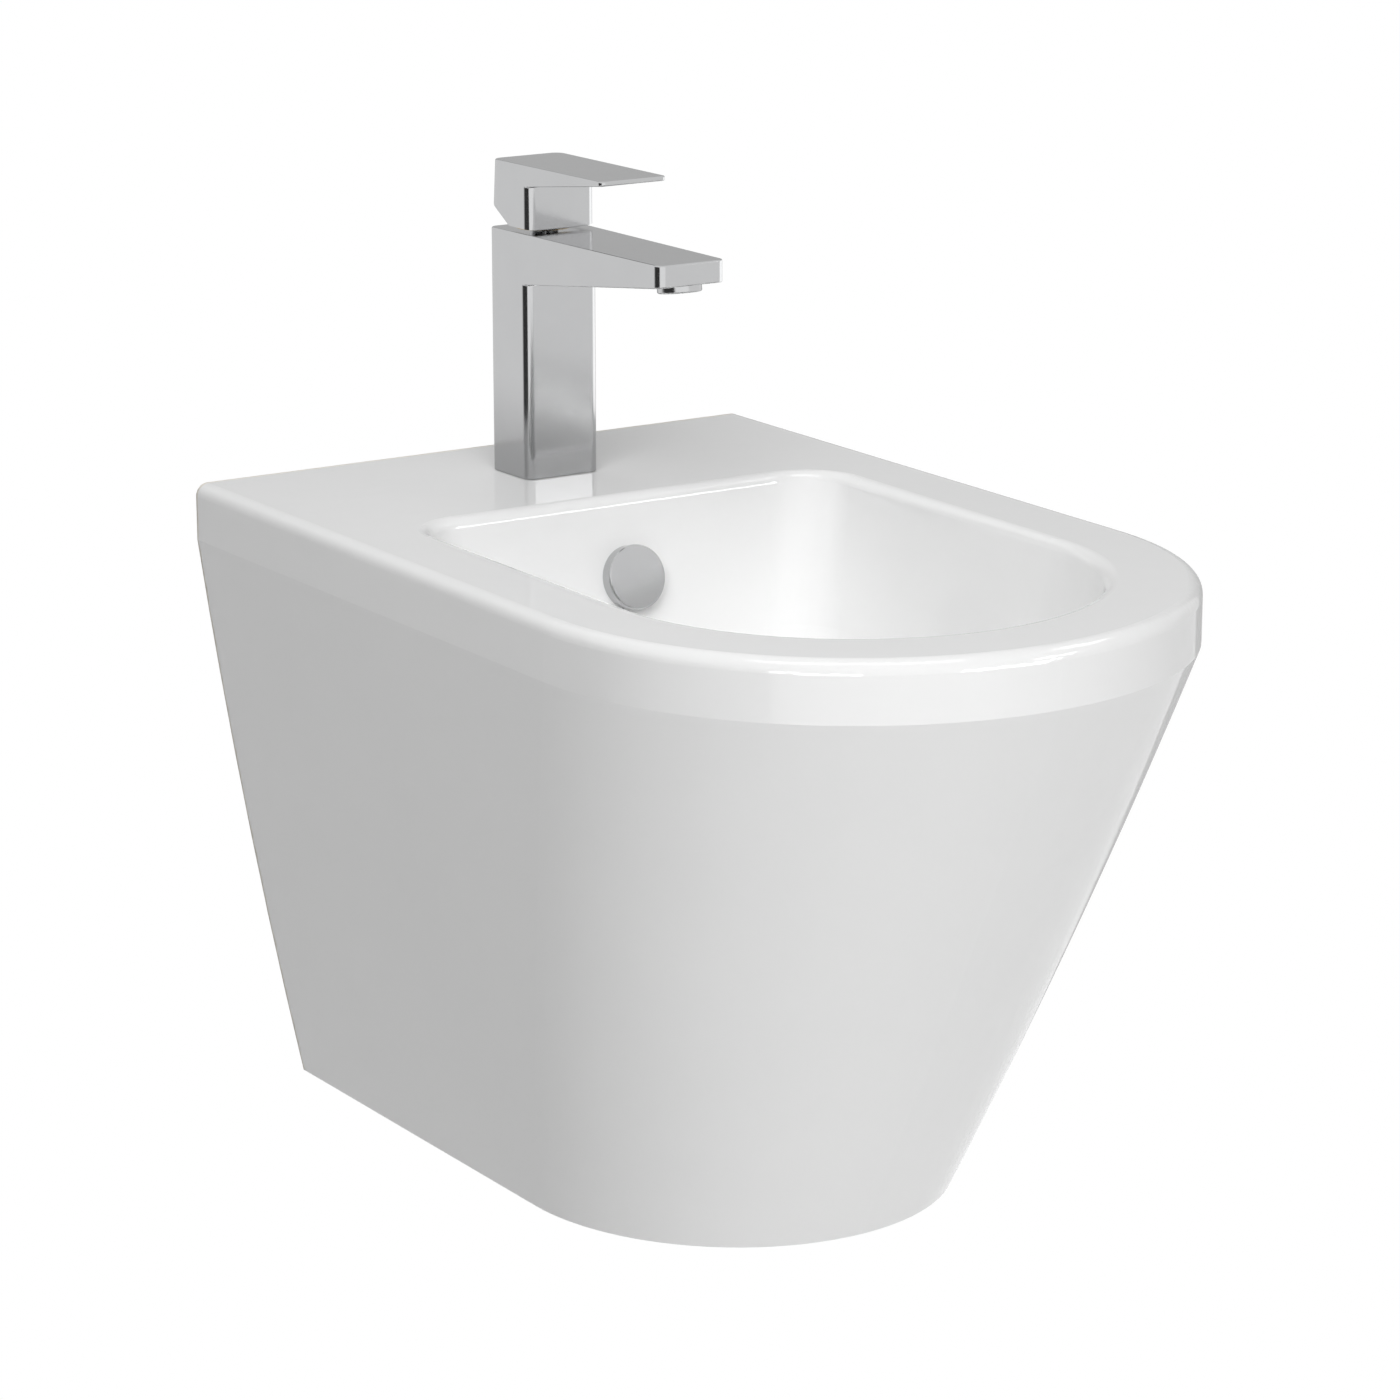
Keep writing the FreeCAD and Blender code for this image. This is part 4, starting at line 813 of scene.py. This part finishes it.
def hexagon_nut(name, flats, height, bore):
    """Nut about the Z axis, its middle at the origin and two corners along X."""
    corner = flats / math.sqrt(3)
    face = FACE_SHARE * flats
    drop = (corner - face) * math.tan(math.radians(CHAMFER_DEGREES))
    bpy.ops.object.select_all(action="DESELECT")
    bpy.ops.mesh.primitive_cylinder_add(vertices=SIDES, radius=corner, depth=height - 2 * drop)
    bpy.ops.object.mode_set(mode="EDIT")
    taper_end(height / 2 - drop, drop, face / corner)
    taper_end(drop - height / 2, -drop, face / corner)
    for flat in range(FLATS):
        angle = math.radians((2 * flat + 1) * 180 / FLATS)
        away = Vector((math.cos(angle), math.sin(angle), 0))
        cut(away * flats / 2, away)
    pick_faces(lambda centre, normal: abs(normal.z) > LEVEL_FACE)
    bpy.ops.mesh.inset(thickness=(face - bore) * math.cos(math.pi / SIDES))
    bpy.ops.mesh.bridge_edge_loops()
    bpy.ops.mesh.select_all(action="SELECT")
    bpy.ops.mesh.normals_make_consistent(inside=False)
    bpy.ops.object.mode_set(mode="OBJECT")
    nut = bpy.context.object
    nut.name = name
    return nut


print("a nut's blank has", SIDES, "sides")

# %% Nuts on the wall studs
STUD_NUT = dict(flats=17.0 * MM, height=8.4 * MM, bore=5.05 * MM)
STUD_NUT_Y = -28.7 * MM

left_nut = hexagon_nut("stud_nut_left", **STUD_NUT)
put(left_nut, (-STUD_X, STUD_NUT_Y, 0), LYING)
right_nut = copied(left_nut, "stud_nut_right", LEFT_TO_RIGHT)
dress(left_nut, "steel", "stud_nuts")
dress(right_nut, "steel", "stud_nuts")

# %% Nuts under the tap and on the waste
CLAMP_NUT = dict(flats=13.0 * MM, height=6.5 * MM, bore=4.05 * MM)
CLAMP_NUT_Z = 67.75 * MM
BACK_NUT = dict(flats=60.0 * MM, height=10.0 * MM, bore=21.0 * MM)
BACK_NUT_Z = -119.0 * MM
WASTE_Y = -285.0 * MM

clamp_nut = hexagon_nut("tap_clamp_nut", **CLAMP_NUT)
put(clamp_nut, (0, TAP_Y, CLAMP_NUT_Z))
dress(clamp_nut, "steel", "tap_nut")

back_nut = hexagon_nut("waste_back_nut", **BACK_NUT)
put(back_nut, (0, WASTE_Y, BACK_NUT_Z))
dress(back_nut, "brass", "waste_nut")

# %% [markdown]
# ## The waste's threaded tail
# Below its back nut the waste carries a pipe thread for the trap. The frame has the tail as a plain
# tube. The whole piece could be modelled anew, but all above the tail is exact already. So we keep
# that, cut the tail off in its relief groove, wind a pipe thread of the same size, bore it with a
# boolean and join the two.

# %% Waste body without its tail
TAIL_TOP = -127.9 * MM
WELD = 0.001 * MM

only(nodes["waste_body"])
bpy.ops.object.duplicate(linked=False)
waste = bpy.context.object
waste.name = "waste_with_thread"
for label in list(waste.keys()):
    del waste[label]
bpy.ops.mesh.customdata_custom_splitnormals_clear()
bpy.ops.object.mode_set(mode="EDIT")
bpy.ops.mesh.select_all(action="SELECT")
bpy.ops.mesh.remove_doubles(threshold=WELD)
cut((0, 0, TAIL_TOP), (0, 0, -1))
bpy.ops.object.mode_set(mode="OBJECT")
print("waste body cut at", round(TAIL_TOP, 4), "m:", len(waste.data.polygons), "faces")

# %% Threaded tail
TAIL = dict(outer=20.955 * MM, depth=1.479 * MM, pitch=2.309 * MM, length=47.1 * MM)
TAIL_BORE_R = 18.0 * MM
DRILL_SIDES = 96
DRILL_LENGTH = 2 * TAIL["length"]

tail = threaded_rod("waste_tail", **TAIL)
put(tail, (0, WASTE_Y, TAIL_TOP))
bpy.ops.object.select_all(action="DESELECT")
bpy.ops.mesh.primitive_cylinder_add(vertices=DRILL_SIDES, radius=TAIL_BORE_R, depth=DRILL_LENGTH,
                                    location=(0, WASTE_Y, TAIL_TOP))
drill = bpy.context.object
only(tail)
bore = tail.modifiers.new("bore", "BOOLEAN")
bore.operation = "DIFFERENCE"
bore.solver = "EXACT"
bore.object = drill
bpy.ops.object.modifier_apply(modifier="bore")
bpy.data.objects.remove(drill)
joined(waste, tail)
dress(waste, "chrome", "waste_body")
